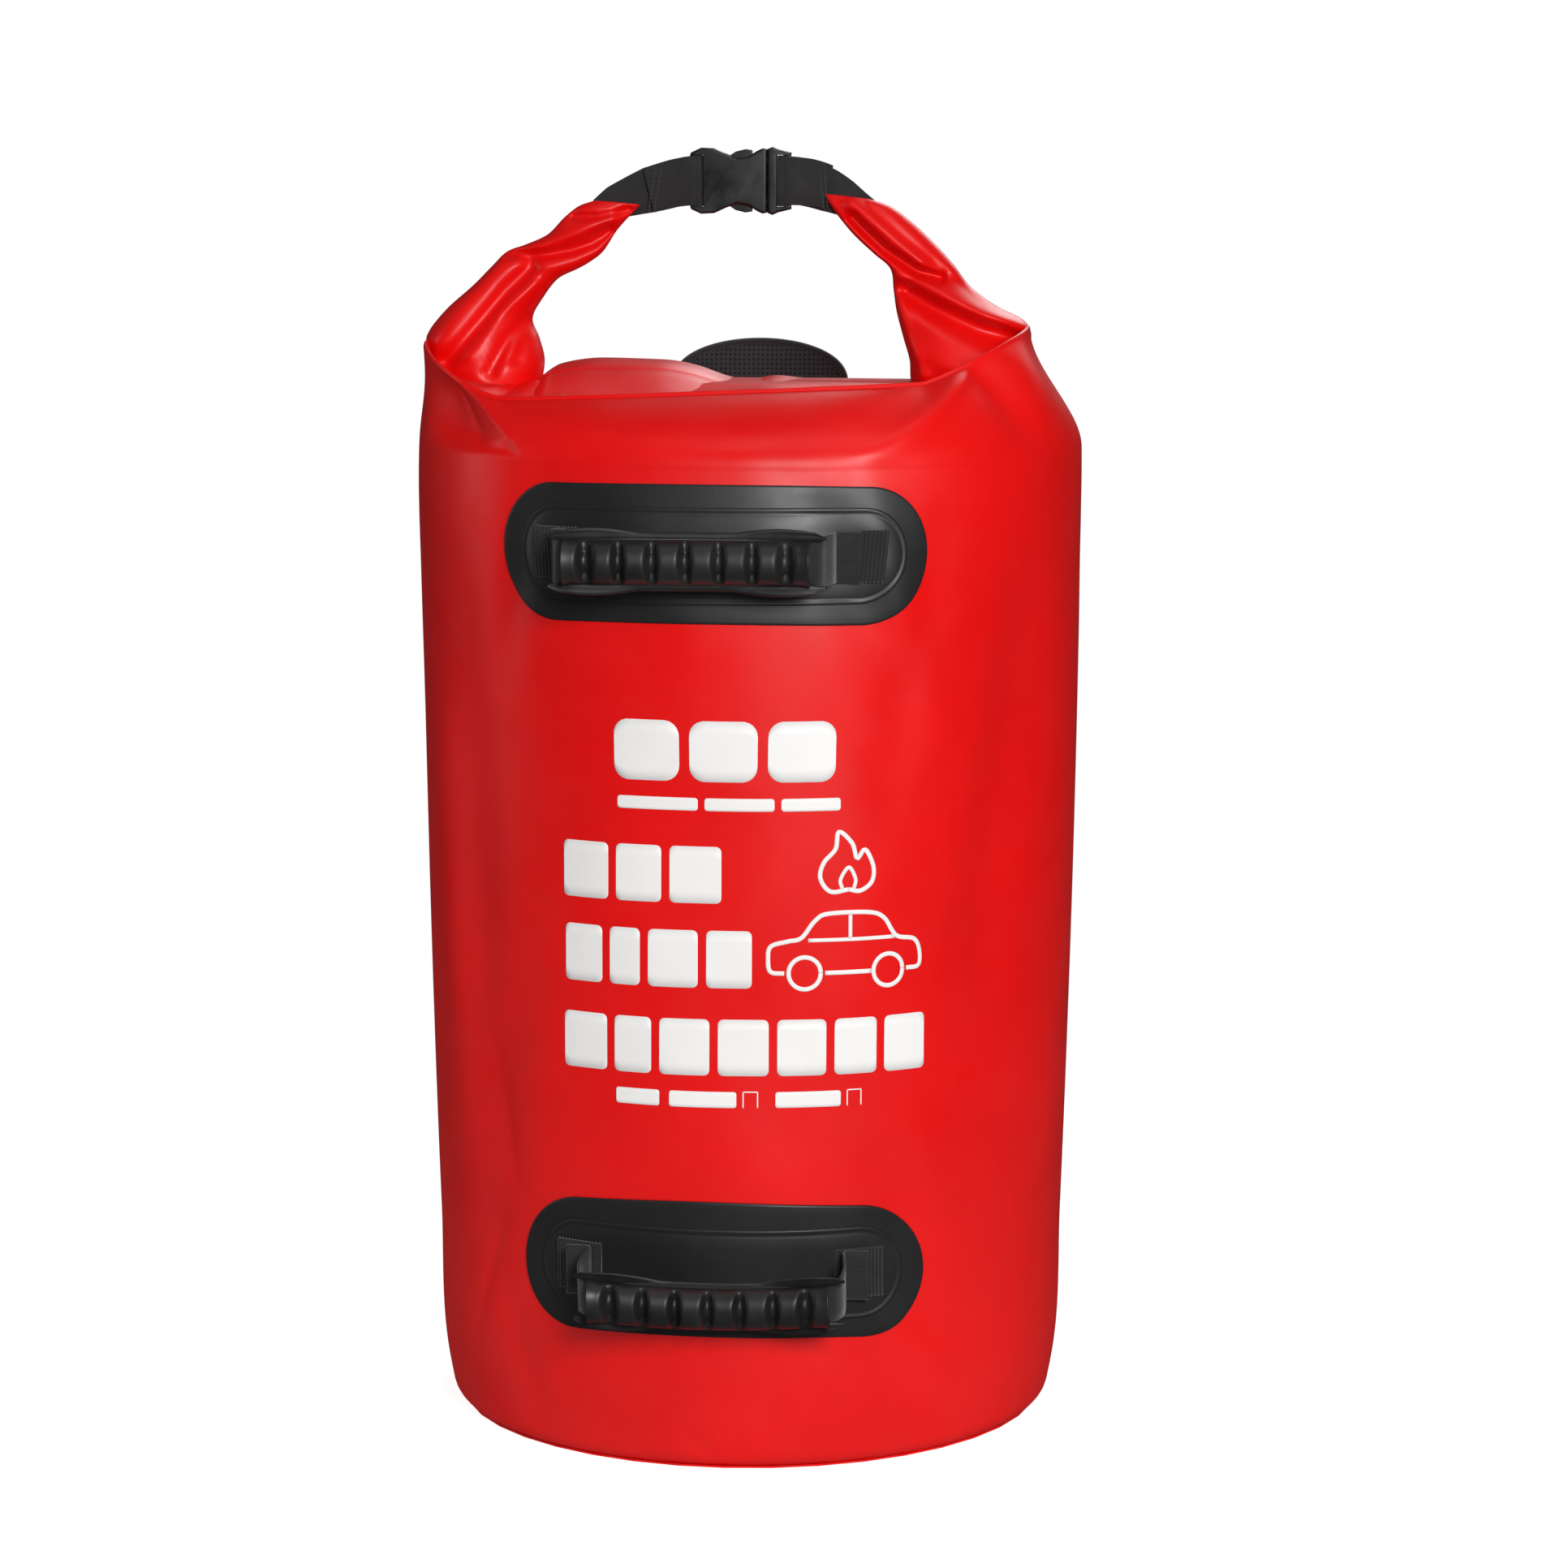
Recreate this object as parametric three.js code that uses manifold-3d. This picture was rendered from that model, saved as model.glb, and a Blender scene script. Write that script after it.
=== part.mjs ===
// Car fire blanket packed in a roll-top bag with two front handles, a buckled loop and a harness.
// Millimetres. +Z is up, the front of the bag faces -Y, and the origin is the middle of the base.
import * as THREE from "three";
import { mergeVertices } from "three/addons/utils/BufferGeometryUtils.js";
import Module from "manifold-3d";

const wasm = await Module();
wasm.setup();

// ---------------------------------------------------------------- driving dimensions

const SHEET = 0.9; // coated bag fabric
const GAP = 0.5; // between pieces that touch
const AROUND = 48; // facets round the bag

// Outer skin of the packed bag, from the floor up to the middle of its closed top:
// height, half width (X), half depth (Y), and how far the section's middle lies along X.
const SKIN = [
  [1.5, 176, 176, 0],
  [3.2, 184, 184, 0],
  [7, 188.4, 188.4, 0],
  [14, 190, 190, 0],
  [300, 194.5, 188, 0],
  [420, 199, 184, 0],
  [500, 201, 180.5, 0],
  [598, 201.5, 168, 0],
  [614, 198, 150, -2],
  [628, 192, 128, -6],
  [633, 184, 108, -12],
  [633.6, 160, 70, -14],
  [634, 120, 18, -14],
];
const WALL_ROWS = 8; // rows of the skin that belong to the wall and shoulder; the rest close the top
const BASE_HOLE = 150; // radius left open where the wall's edge is turned in over the base disc
const BASE_RADIUS = 180;
const TAPE = { width: 20, thick: 0.6 }; // welded over the seams
const SEAM_PLACE = 210; // round the wall from the back's middle
const BASE_SHEET = 1.2;

const BLANKET_RADIUS = 174;
const BLANKET_BOTTOM = 4;
const BLANKET_TOP = 560;

const WEBBING = 30; // handle and carry loop webbing
const WEBBING_THICK = 1.2;
const HARNESS_WEBBING = 25;
const BAR = { left: -33.6, right: 20.5 }; // where the webbing turns round each half of the buckle
const PRONG_ROOT = { x: 12.4, z: 12.5, radius: 2.1 };

const PATCH = { length: 258, height: 84, thick: 1.2 };
const PATCH_TOP = { length: 230, height: 54, thick: 1 };
const ANCHOR = { from: 70, to: 99, thick: 1.8 };
const TOP_HANDLE = { x: -11, z: 545, droop: 0 };
const BOTTOM_HANDLE = { x: -4, z: 121, droop: 12 }; // degrees that it hangs below level
const HANDLE_RISE = 35; // webbing in the grip above the handle's hinge line
const GRIP = { tube: 61, lips: 80, pitch: 18.5, grooves: 5 }; // half lengths, and the finger grooves

const LOOP_HINGE_Z = 656; // the carry loop leans about this line along X
const BUCKLE_Z = 754.5;

const YOKE = { middle: -9, bottom: 602, top: 649, halfBottom: 56, halfTop: 33, off: 12 };
const PAD = { width: 52, thick: 9, top: 590 };
const LADDER_LOCK = { halfWidth: 17, halfHeight: 19, thick: 6 };
const LOWER_ANCHOR_Z = 80;

// ---------------------------------------------------------------- materials

const material = (color, roughness, metalness = 0) =>
  new THREE.MeshStandardMaterial({ color, roughness, metalness });
const redSheet = material(0xd81414, 0.42);
const blackSheet = material(0x26272a, 0.5);
const webbing = material(0x17181a, 0.85);
const rubber = material(0x1b1b1d, 0.55);
const buckleNylon = material(0x141516, 0.35);
const airMesh = material(0x202124, 0.9);
const glassCloth = material(0xb9b9b2, 0.8);
const pullWebbing = material(0xc8201c, 0.8);

// ---------------------------------------------------------------- building solids

const group = new THREE.Group();

function add(name, geometry, mat) {
  const mesh = new THREE.Mesh(geometry, mat);
  mesh.name = name;
  group.add(mesh);
  return mesh;
}

// A closed solid through equal rings of points, with a fan over each end.
function loft(rings) {
  const count = rings[0].length;
  const points = rings.flat();
  const index = [];
  for (let r = 0; r + 1 < rings.length; r++) {
    for (let i = 0; i < count; i++) {
      const j = (i + 1) % count;
      const [a, b, c, d] = [r * count + i, r * count + j, (r + 1) * count + j, (r + 1) * count + i];
      index.push(a, b, c, a, c, d);
    }
  }
  for (const [first, turn] of [[0, -1], [(rings.length - 1) * count, 1]]) {
    const ring = points.slice(first, first + count);
    const middle = ring.reduce((sum, p) => sum.add(p), new THREE.Vector3()).divideScalar(count);
    points.push(middle);
    for (let i = 0; i < count; i++) {
      const [a, b] = [first + i, first + ((i + 1) % count)];
      index.push(...(turn > 0 ? [points.length - 1, a, b] : [points.length - 1, b, a]));
    }
  }
  const geometry = new THREE.BufferGeometry();
  const numbers = points.flatMap((p) => [p.x, p.y, p.z]);
  geometry.setAttribute("position", new THREE.Float32BufferAttribute(numbers, 3));
  geometry.setIndex(volume(points, index) < 0 ? index.reverse() : index);
  return geometry;
}

function volume(points, index) {
  let sum = 0;
  for (let i = 0; i < index.length; i += 3) {
    const [a, b, c] = [points[index[i]], points[index[i + 1]], points[index[i + 2]]];
    sum += a.dot(new THREE.Vector3().crossVectors(b, c));
  }
  return sum / 6;
}

function toManifold(source) {
  const geometry = source.clone();
  geometry.deleteAttribute("normal");
  geometry.deleteAttribute("uv");
  const merged = mergeVertices(geometry, 1e-4);
  return new wasm.Manifold(
    new wasm.Mesh({
      numProp: 3,
      vertProperties: new Float32Array(merged.attributes.position.array),
      triVerts: new Uint32Array(merged.index.array),
    }),
  );
}

function toGeometry(manifold) {
  const mesh = manifold.getMesh();
  const geometry = new THREE.BufferGeometry();
  geometry.setAttribute("position", new THREE.Float32BufferAttribute(mesh.vertProperties, 3));
  geometry.setIndex(new THREE.Uint32BufferAttribute(mesh.triVerts, 1));
  return geometry;
}

function box(x0, x1, y0, y1, z0, z1) {
  const geometry = new THREE.BoxGeometry(x1 - x0, y1 - y0, z1 - z0);
  return geometry.translate((x0 + x1) / 2, (y0 + y1) / 2, (z0 + z1) / 2);
}

function cut(geometry, ...tools) {
  return toGeometry(tools.reduce((solid, tool) => solid.subtract(toManifold(tool)), toManifold(geometry)));
}

function join(geometry, ...others) {
  return toGeometry(others.reduce((solid, other) => solid.add(toManifold(other)), toManifold(geometry)));
}

// An outline in X and Z, given thickness along Y with eased edges, its middle at y = 0.
function plate(shape, thick, ease) {
  const geometry = new THREE.ExtrudeGeometry(shape, {
    depth: thick - 2 * ease,
    bevelThickness: ease,
    bevelSize: ease,
    bevelOffset: -ease,
    bevelSegments: 2,
    curveSegments: 5,
  });
  return geometry.translate(0, 0, ease - thick / 2).rotateX(Math.PI / 2);
}

// A shape through [x, z] points.
function polygon(points) {
  return new THREE.Shape(points.map(([x, z]) => new THREE.Vector2(x, z)));
}

// A shape that is the same above and below: its upper half is given from left to right.
function mirrored(half) {
  return polygon([...half, ...[...half].reverse().map(([x, z]) => [x, -z])]);
}

// A flat strip of a width along a direction, following points, with its thickness at right angles to both.
function strip(points, width, thick, across) {
  const rings = points.map((p, i) => {
    const before = points[Math.max(i - 1, 0)];
    const after = points[Math.min(i + 1, points.length - 1)];
    const along = new THREE.Vector3().subVectors(after, before).normalize();
    const side = across.clone().addScaledVector(along, -across.dot(along)).normalize();
    const out = new THREE.Vector3().crossVectors(along, side);
    return [[-1, -1], [1, -1], [1, 1], [-1, 1]].map(([u, v]) =>
      p.clone().addScaledVector(side, (u * width) / 2).addScaledVector(out, (v * thick) / 2),
    );
  });
  return loft(rings);
}

function smooth(points, count) {
  return new THREE.CatmullRomCurve3(points, false, "centripetal").getPoints(count);
}

// ---------------------------------------------------------------- the bag's surface

const ALONG_X = new THREE.Vector3(1, 0, 0);
const ALONG_Y = new THREE.Vector3(0, 1, 0);
const ALONG_Z = new THREE.Vector3(0, 0, 1);

// Half width and half depth of the bag's wall at a height.
function halves(z) {
  const wall = SKIN.slice(0, WALL_ROWS);
  const k = Math.max(1, wall.findIndex((row) => row[0] >= z));
  const t = (z - wall[k - 1][0]) / (wall[k][0] - wall[k - 1][0]);
  return [1, 2].map((c) => THREE.MathUtils.lerp(wall[k - 1][c], wall[k][c], t));
}

// The point a distance s round the wall from the front (or back) middle, at a height, standing off the wall.
function onWall(s, z, off, back = false) {
  const [halfWidth, halfDepth] = halves(z);
  const turn = s / halfWidth;
  const normal = new THREE.Vector3(Math.sin(turn) / halfWidth, -Math.cos(turn) / halfDepth, 0).normalize();
  const point = new THREE.Vector3(halfWidth * Math.sin(turn), -halfDepth * Math.cos(turn), z);
  point.addScaledVector(normal, off);
  if (back) point.y = -point.y;
  return point;
}

function ring(z, halfWidth, halfDepth, middle) {
  return Array.from({ length: AROUND }, (_, i) => {
    const turn = (2 * Math.PI * i) / AROUND;
    return new THREE.Vector3(middle + halfWidth * Math.sin(turn), -halfDepth * Math.cos(turn), z);
  });
}

// A thin sheet lying on the wall: its half height at each place along s is given by a function.
function wallSheet(from, to, steps, halfHeight, z, low, high, back = false) {
  const levels = [-1, -0.5, 0, 0.5, 1];
  const rings = Array.from({ length: steps + 1 }, (_, i) => {
    const s = THREE.MathUtils.lerp(from, to, 0.5 - 0.5 * Math.cos((Math.PI * i) / steps));
    const half = halfHeight(s);
    return [
      ...levels.map((v) => onWall(s, z + v * half, low, back)),
      ...[...levels].reverse().map((v) => onWall(s, z + v * half, high, back)),
    ];
  });
  return loft(rings);
}

function stadium(length, height) {
  const straight = (length - height) / 2;
  return (s) => {
    const past = Math.max(0, Math.abs(s) - straight);
    return Math.max(1.5, Math.sqrt(Math.max(0, (height / 2) ** 2 - past ** 2)));
  };
}

// ---------------------------------------------------------------- bag

function makeBag() {
  const outer = loft(SKIN.map(([z, a, b, x]) => ring(z, a, b, x)));
  const lift = (i) => (i === 0 ? SHEET : i < WALL_ROWS ? 0 : -SHEET);
  const inner = loft(SKIN.map(([z, a, b, x], i) => ring(z + lift(i), a - SHEET, b - SHEET, x)));
  const hole = new THREE.CylinderGeometry(BASE_HOLE, BASE_HOLE, 12, AROUND).rotateX(Math.PI / 2);
  add("bag_shell", cut(outer, inner, hole), redSheet);

  const disc = new THREE.CylinderGeometry(BASE_RADIUS, BASE_RADIUS, BASE_SHEET, 40).rotateX(Math.PI / 2);
  add("base_disc", disc.translate(0, 0, BASE_SHEET / 2), redSheet);

  const floor = SKIN[0][0] + SHEET + GAP;
  const [weldInner, weldOuter] = [BASE_HOLE + 2, SKIN[0][1] - 2];
  const weldTop = [[weldOuter, TAPE.thick], [weldInner, TAPE.thick]];
  const weld = [[weldInner, 0], [weldOuter, 0], ...weldTop, [weldInner, 0]];
  const weldRing = new THREE.LatheGeometry(weld.map(([r, z]) => new THREE.Vector2(r, floor + z)), 40);
  add("base_weld_ring", weldRing.rotateX(Math.PI / 2), redSheet);

  const [low, high, half] = [GAP, GAP + TAPE.thick, TAPE.width / 2];
  const section = [[-half, low], [0, low], [half, low], [half, high], [0, high], [-half, high]];
  const levels = SKIN.slice(3, WALL_ROWS).map(([z]) => z);
  const seamRings = levels.map((z) => section.map(([s, off]) => onWall(SEAM_PLACE + s, z, off, true)));
  add("side_seam_tape", loft(seamRings), redSheet);

  makeRoll();
}

// The mouth of the bag, rolled down flat on the top; its ends thin out before the arms.
function makeRoll() {
  const rollHalf = { y: 32, z: 5 };
  const rollMiddle = SKIN[SKIN.length - 1][0] + GAP + rollHalf.z;
  const rollRings = [-122, -119, -112, -60, 0, 60, 72, 79, 82].map((x, i, all) => {
    const edge = Math.min(x - all[0], all[8] - x);
    const share = Math.min(1, 0.45 + edge / 18); // of the full section
    return Array.from({ length: 16 }, (_, k) => {
      const turn = (2 * Math.PI * k) / 16;
      const y = Math.sign(Math.cos(turn)) * Math.abs(Math.cos(turn)) ** 0.6 * rollHalf.y * share;
      return new THREE.Vector3(x, y, rollMiddle + Math.sin(turn) * rollHalf.z * share);
    });
  });
  add("closure_roll", loft(rollRings), redSheet);
}

// ---------------------------------------------------------------- what is packed inside

function makeBlanket() {
  const ease = 12;
  const lower = [[0, BLANKET_BOTTOM], [BLANKET_RADIUS - ease, BLANKET_BOTTOM], [BLANKET_RADIUS, BLANKET_BOTTOM + ease]];
  const upper = [[BLANKET_RADIUS, BLANKET_TOP - 2 * ease], [BLANKET_RADIUS - ease, BLANKET_TOP], [0, BLANKET_TOP]];
  const profile = [...lower, ...upper].map(([r, z]) => new THREE.Vector2(r, z));
  add("fire_blanket", new THREE.LatheGeometry(profile, 40).rotateX(Math.PI / 2), glassCloth);

  // A folded webbing pull loop at each corner of the sheet; all four lie on top of the roll.
  const reach = 55;
  const fold = [[reach - 8, 1.2], [reach - 2, 2.4], [reach, 5], [reach - 2, 7.6], [reach - 8, 8.8]];
  const path = [[-reach, 1.2], ...fold, [-reach, 5.5]].map(([x, z]) => new THREE.Vector3(x, 0, z));
  const places = [[-72, -50, 20], [60, -78, -35], [72, 52, 60], [-60, 66, -15]];
  places.forEach(([x, y, degrees], i) => {
    const geometry = strip(path, 38, 1.6, ALONG_Y);
    geometry.rotateZ(THREE.MathUtils.degToRad(degrees)).translate(x, y, BLANKET_TOP + GAP);
    add(`blanket_pull_loop_${i + 1}`, geometry, pullWebbing);
  });
}

// ---------------------------------------------------------------- front handles

// The webbing rises from the patch, turns over into the grip and comes down again at the other end.
function handlePath() {
  const half = [[74.5, 7.4], [77, 13], [78, 20], [77, 27], [73.5, 32], [68, 34.6], [60, HANDLE_RISE]];
  const left = half.map(([x, n]) => [-x, n]);
  return [...left, ...half.reverse()];
}

// Rubber grip: a flat lipped base under a domed, finger-grooved tube, slotted for the webbing.
// Past the tube's ends only the pointed tips of the two lips go on, above and below the webbing.
function gripGeometry() {
  const steps = 40;
  const rings = Array.from({ length: steps + 1 }, (_, i) => {
    const x = GRIP.lips * (-1 + (2 * i) / steps);
    const nearest = Math.abs(Math.round(x / GRIP.pitch)) <= (GRIP.grooves - 1) / 2;
    const groove = nearest ? Math.cos((Math.PI * x) / GRIP.pitch) ** 8 : 0;
    const dome = 11 - 3.2 * groove;
    const lip = 17.2 + 1.6 * (Math.abs(x) / GRIP.lips) ** 3;
    const arch = Array.from({ length: 6 }, (_, k) => {
      const turn = (Math.PI * (k + 0.5)) / 6;
      return [12.8 * Math.cos(turn), 3 + dome * Math.sin(turn)];
    });
    const bed = [[-lip, -3], [0, -3], [lip, -3], [lip, -0.4], [16.6, 1.8]];
    const section = [...bed, ...arch, [-16.6, 1.8], [-lip, -0.4]];
    return section.map(([w, n]) => new THREE.Vector3(x, -n, w));
  });
  const half = WEBBING / 2 + 0.5;
  const slot = box(-GRIP.lips, GRIP.lips, -1.1, 1.1, -half, half);
  const ends = [-1, 1].map((side) => {
    const [near, far] = [side * GRIP.tube, side * (GRIP.lips + 2)];
    return box(Math.min(near, far), Math.max(near, far), -20, 5, -half, half);
  });
  return cut(loft(rings), slot, ...ends);
}

function makeHandle(name, { x: middle, z, droop: degrees }) {
  const [halfWidth, halfDepth] = halves(z);
  const nearEnd = ANCHOR.from - Math.abs(middle); // the end where the wall comes furthest forward
  const hinge = halfDepth * Math.sqrt(1 - (nearEnd / halfWidth) ** 2) + 3;
  const about = (shape) => (s) => shape(s - middle);
  const oval = (size, steps, inner, outer) => {
    const reach = size.length / 2;
    const shape = about(stadium(size.length, size.height));
    return wallSheet(middle - reach, middle + reach, steps, shape, z, inner, outer);
  };
  add(`${name}_patch`, oval(PATCH, 24, GAP, GAP + PATCH.thick), blackSheet);
  const low = GAP + PATCH.thick + GAP;
  const topHigh = low + PATCH_TOP.thick;
  add(`${name}_backing`, oval(PATCH_TOP, 20, low, topHigh), blackSheet);
  const [under, over] = [topHigh + GAP, topHigh + GAP + ANCHOR.thick];
  for (const [side, from, to] of [["left", -ANCHOR.to, -ANCHOR.from], ["right", ANCHOR.from, ANCHOR.to]]) {
    const square = wallSheet(middle + from, middle + to, 4, () => WEBBING / 2, z, under, over);
    add(`${name}_${side}_anchor`, square, webbing);
  }
  const droop = THREE.MathUtils.degToRad(degrees);
  const place = (geometry) => geometry.rotateX(droop).translate(middle, -hinge, z);
  const path = handlePath().map(([x, n]) => new THREE.Vector3(x, -n, 0));
  add(`${name}_webbing`, place(strip(path, WEBBING, WEBBING_THICK, ALONG_Z)), webbing);
  add(`${name}_grip`, place(gripGeometry().translate(0, -HANDLE_RISE, 0)), rubber);
}

// ---------------------------------------------------------------- carry loop

// One rolled end of the bag's mouth, from stations of middle x, middle z, width across the arm and depth.
function makeArm(name, stations) {
  const rings = stations.map(([x, z, width, depth], i) => {
    const before = stations[Math.max(i - 1, 0)];
    const after = stations[Math.min(i + 1, stations.length - 1)];
    const along = new THREE.Vector3(after[0] - before[0], 0, after[1] - before[1]).normalize();
    const flat = i < 5 ? new THREE.Vector3(1, 0, 0) : new THREE.Vector3(along.z, 0, -along.x);
    return Array.from({ length: 14 }, (_, k) => {
      const turn = (2 * Math.PI * k) / 14;
      const point = new THREE.Vector3(x, (Math.sin(turn) * depth) / 2, z);
      return point.addScaledVector(flat, (Math.cos(turn) * width) / 2);
    });
  });
  add(name, loft(rings), redSheet);
}

// The foot of an arm is a round bottom about the loop's hinge line, so the loop leans clear of the bag.
function armFoot(x, width) {
  const radius = 20;
  const depth = (drop) => 2 * Math.sqrt(radius ** 2 - drop ** 2);
  return [19.2, 17, 12, 4].map((drop) => [x, LOOP_HINGE_Z - drop, width * (1 - drop / 90), depth(drop)]);
}

function makeCarryLoop() {
  const leftLow = [[-160, 668, 62, 40], [-146, 690, 44, 33], [-124, 708, 34, 28]];
  const left = [...leftLow, [-105, 720, 30, 22], [-92, 730, 26, 15]];
  const rightLow = [[128, 668, 70, 40], [112, 690, 46, 33], [101, 706, 38, 28]];
  const right = [...rightLow, [89, 720, 32, 22], [75, 732, 28, 14]];
  makeArm("left_roll_arm", [...armFoot(-163, 64), ...left]);
  makeArm("right_roll_arm", [...armFoot(131, 74), ...right]);

  // Webbing threaded round a buckle bar and folded back on itself, out to the tip of a rolled arm.
  const turn = [[22, 1], [14, 1.2], [8, 3.7], [3, 4.3], [-0.8, 4.1], [-2.5, 2.7], [-3, 0]];
  const fold = [...turn, ...turn.slice(0, -1).reverse().map(([away, y]) => [away, -y])];
  const loopTo = (side, bar, reach) => {
    const path = fold.map(([away, y]) => {
      const out = away < 22 ? away : reach;
      const drop = 0.009 * Math.max(0, out - 6) ** 2;
      return new THREE.Vector3(bar + side * out, y, BUCKLE_Z - drop);
    });
    return strip(path, WEBBING, WEBBING_THICK, ALONG_Z);
  };
  add("left_webbing", loopTo(-1, BAR.left, 40), webbing);
  add("right_webbing", loopTo(1, BAR.right, 38), webbing);
}

function makeBuckle() {
  const thick = 11;
  const pocket = { halfY: 3.2, halfZ: 16.6 };
  const open = WEBBING / 2 + 0.7;

  // Socket: closed shoulders at the webbing end, a pinched waist that bares the prongs, and a flared mouth.
  const shoulders = [[-38, 12], [-36, 17], [-30, 19.8], [-22, 19.4]];
  const socketHalf = [...shoulders, [-15, 16.2], [-8, 13.6], [-1, 14.8], [4, 18], [7.5, 19.6], [10, 19]];
  const socket = cut(
    plate(mirrored(socketHalf), thick, 1.4),
    box(-22, 12, -pocket.halfY, pocket.halfY, -pocket.halfZ, pocket.halfZ),
    box(-33, -28.4, -thick, thick, -open, open),
    box(-40, -33, 3, thick, -open, open),
    box(-40, -33, -thick, -3, -open, open),
  );
  add("buckle_socket", socket.translate(0, 0, BUCKLE_Z), buckleNylon);

  // Insert: flared base with a webbing bar, a middle tongue, and a seat for each prong's root.
  const baseHalf = [[10.5, 19.2], [13.5, 20.4], [17, 18.8], [24.5, 17]];
  const { x: rootX, z: rootZ, radius } = PRONG_ROOT;
  const seats = [rootZ, -rootZ].flatMap((z) => [
    new THREE.CylinderGeometry(radius + GAP, radius + GAP, 6, 16).translate(rootX, 0, z),
    box(9, rootX, -3, 3, z - radius - GAP, z + radius + GAP),
  ]);
  const insert = cut(
    join(plate(mirrored(baseHalf), thick, 1.4), box(-18, 12, -2.4, 2.4, -2.6, 2.6)),
    box(15.9, 19.9, -thick, thick, -open, open),
    box(19.9, 26, 3, thick, -open, open),
    box(19.9, 26, -thick, -3, -open, open),
    ...seats,
  );
  add("buckle_insert", insert.translate(0, 0, BUCKLE_Z), buckleNylon);

  // Prong: a springy arm from its round root to a barbed button that fills the socket's waist.
  const outside = [[10.5, 14.4], [2, 15.1], [1.1, 15.6], [0.9, 18.4], [-3, 19], [-9, 17.6], [-14, 14.2]];
  const arm = [...outside, [-16, 11.4], [-14.5, 9.8], [-6, 10.8], [4, 10.9], [10.5, 10.6]];
  const neck = THREE.MathUtils.degToRad(60); // half the angle of the root's circle that the arm leaves open
  for (const [name, side] of [["upper_prong", 1], ["lower_prong", -1]]) {
    const shape = new THREE.Shape();
    shape.absarc(rootX, rootZ, radius, -Math.PI + neck, Math.PI - neck, false);
    arm.forEach(([x, z]) => shape.lineTo(x, z));
    const geometry = plate(shape, 5.2, 0.5);
    if (side < 0) geometry.rotateX(Math.PI);
    add(name, geometry.translate(0, 0, BUCKLE_Z), buckleNylon);
  }
}

// ---------------------------------------------------------------- shoulder harness

// A place behind the bag: a distance s round from the back's middle, above the shoulder a plain upright.
function behind(s, z, off) {
  const point = onWall(s, Math.min(z, 590), off, true);
  point.z = z;
  return point;
}

// The direction round the wall at s, behind the bag.
function round(s) {
  const ahead = behind(s + 1, 300, 0).sub(behind(s - 1, 300, 0));
  return ahead.normalize();
}

// A soft cushioned section: a rounded rectangle about a middle point.
function cushion(middle, across, out, width, thick, count) {
  return Array.from({ length: count }, (_, k) => {
    const turn = (2 * Math.PI * k) / count;
    const u = Math.sign(Math.cos(turn)) * Math.abs(Math.cos(turn)) ** 0.5;
    const v = Math.sign(Math.sin(turn)) * Math.abs(Math.sin(turn)) ** 0.7;
    return middle.clone().addScaledVector(across, (u * width) / 2).addScaledVector(out, (v * thick) / 2);
  });
}

function makeYoke() {
  const rows = 9;
  const rings = Array.from({ length: rows }, (_, i) => {
    const z = THREE.MathUtils.lerp(YOKE.bottom, YOKE.top, i / (rows - 1));
    const up = THREE.MathUtils.clamp((z - 620) / (YOKE.top - 620), 0, 1);
    const half = THREE.MathUtils.lerp(YOKE.halfTop, YOKE.halfBottom, Math.sqrt(1 - up * up));
    const thick = PAD.thick * (i === rows - 1 ? 0.6 : 1);
    const middle = new THREE.Vector3(YOKE.middle, YOKE.off, z);
    return cushion(middle, ALONG_X, ALONG_Y, 2 * half, thick, 20).map((p) => behind(p.x, z, p.y));
  });
  add("harness_yoke", loft(rings), airMesh);

  // Webbing tab that ties the yoke down to the patch on the wall.
  const tab = [[540, 2.8], [564, 2.8], [576, 3.2], [588, 4], [615, 4]];
  const tabLine = tab.map(([z, off]) => behind(YOKE.middle, z, off));
  add("harness_tab", strip(tabLine, 36, WEBBING_THICK, ALONG_X), webbing);
  add("harness_patch", wallSheet(-96, 96, 16, stadium(192, 78), 552, GAP, GAP + 1.2, true), blackSheet);
}

// Shoulder pad's middle line, from under the yoke to the ladder lock: place round the wall, height, stand-off.
const PAD_UPPER = [[28, PAD.top, 12], [36, 570, 14], [58, 525, 24], [80, 465, 36]];
const PAD_LINE = [...PAD_UPPER, [98, 400, 42], [107, 350, 38], [110, 318, 33]];

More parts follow.
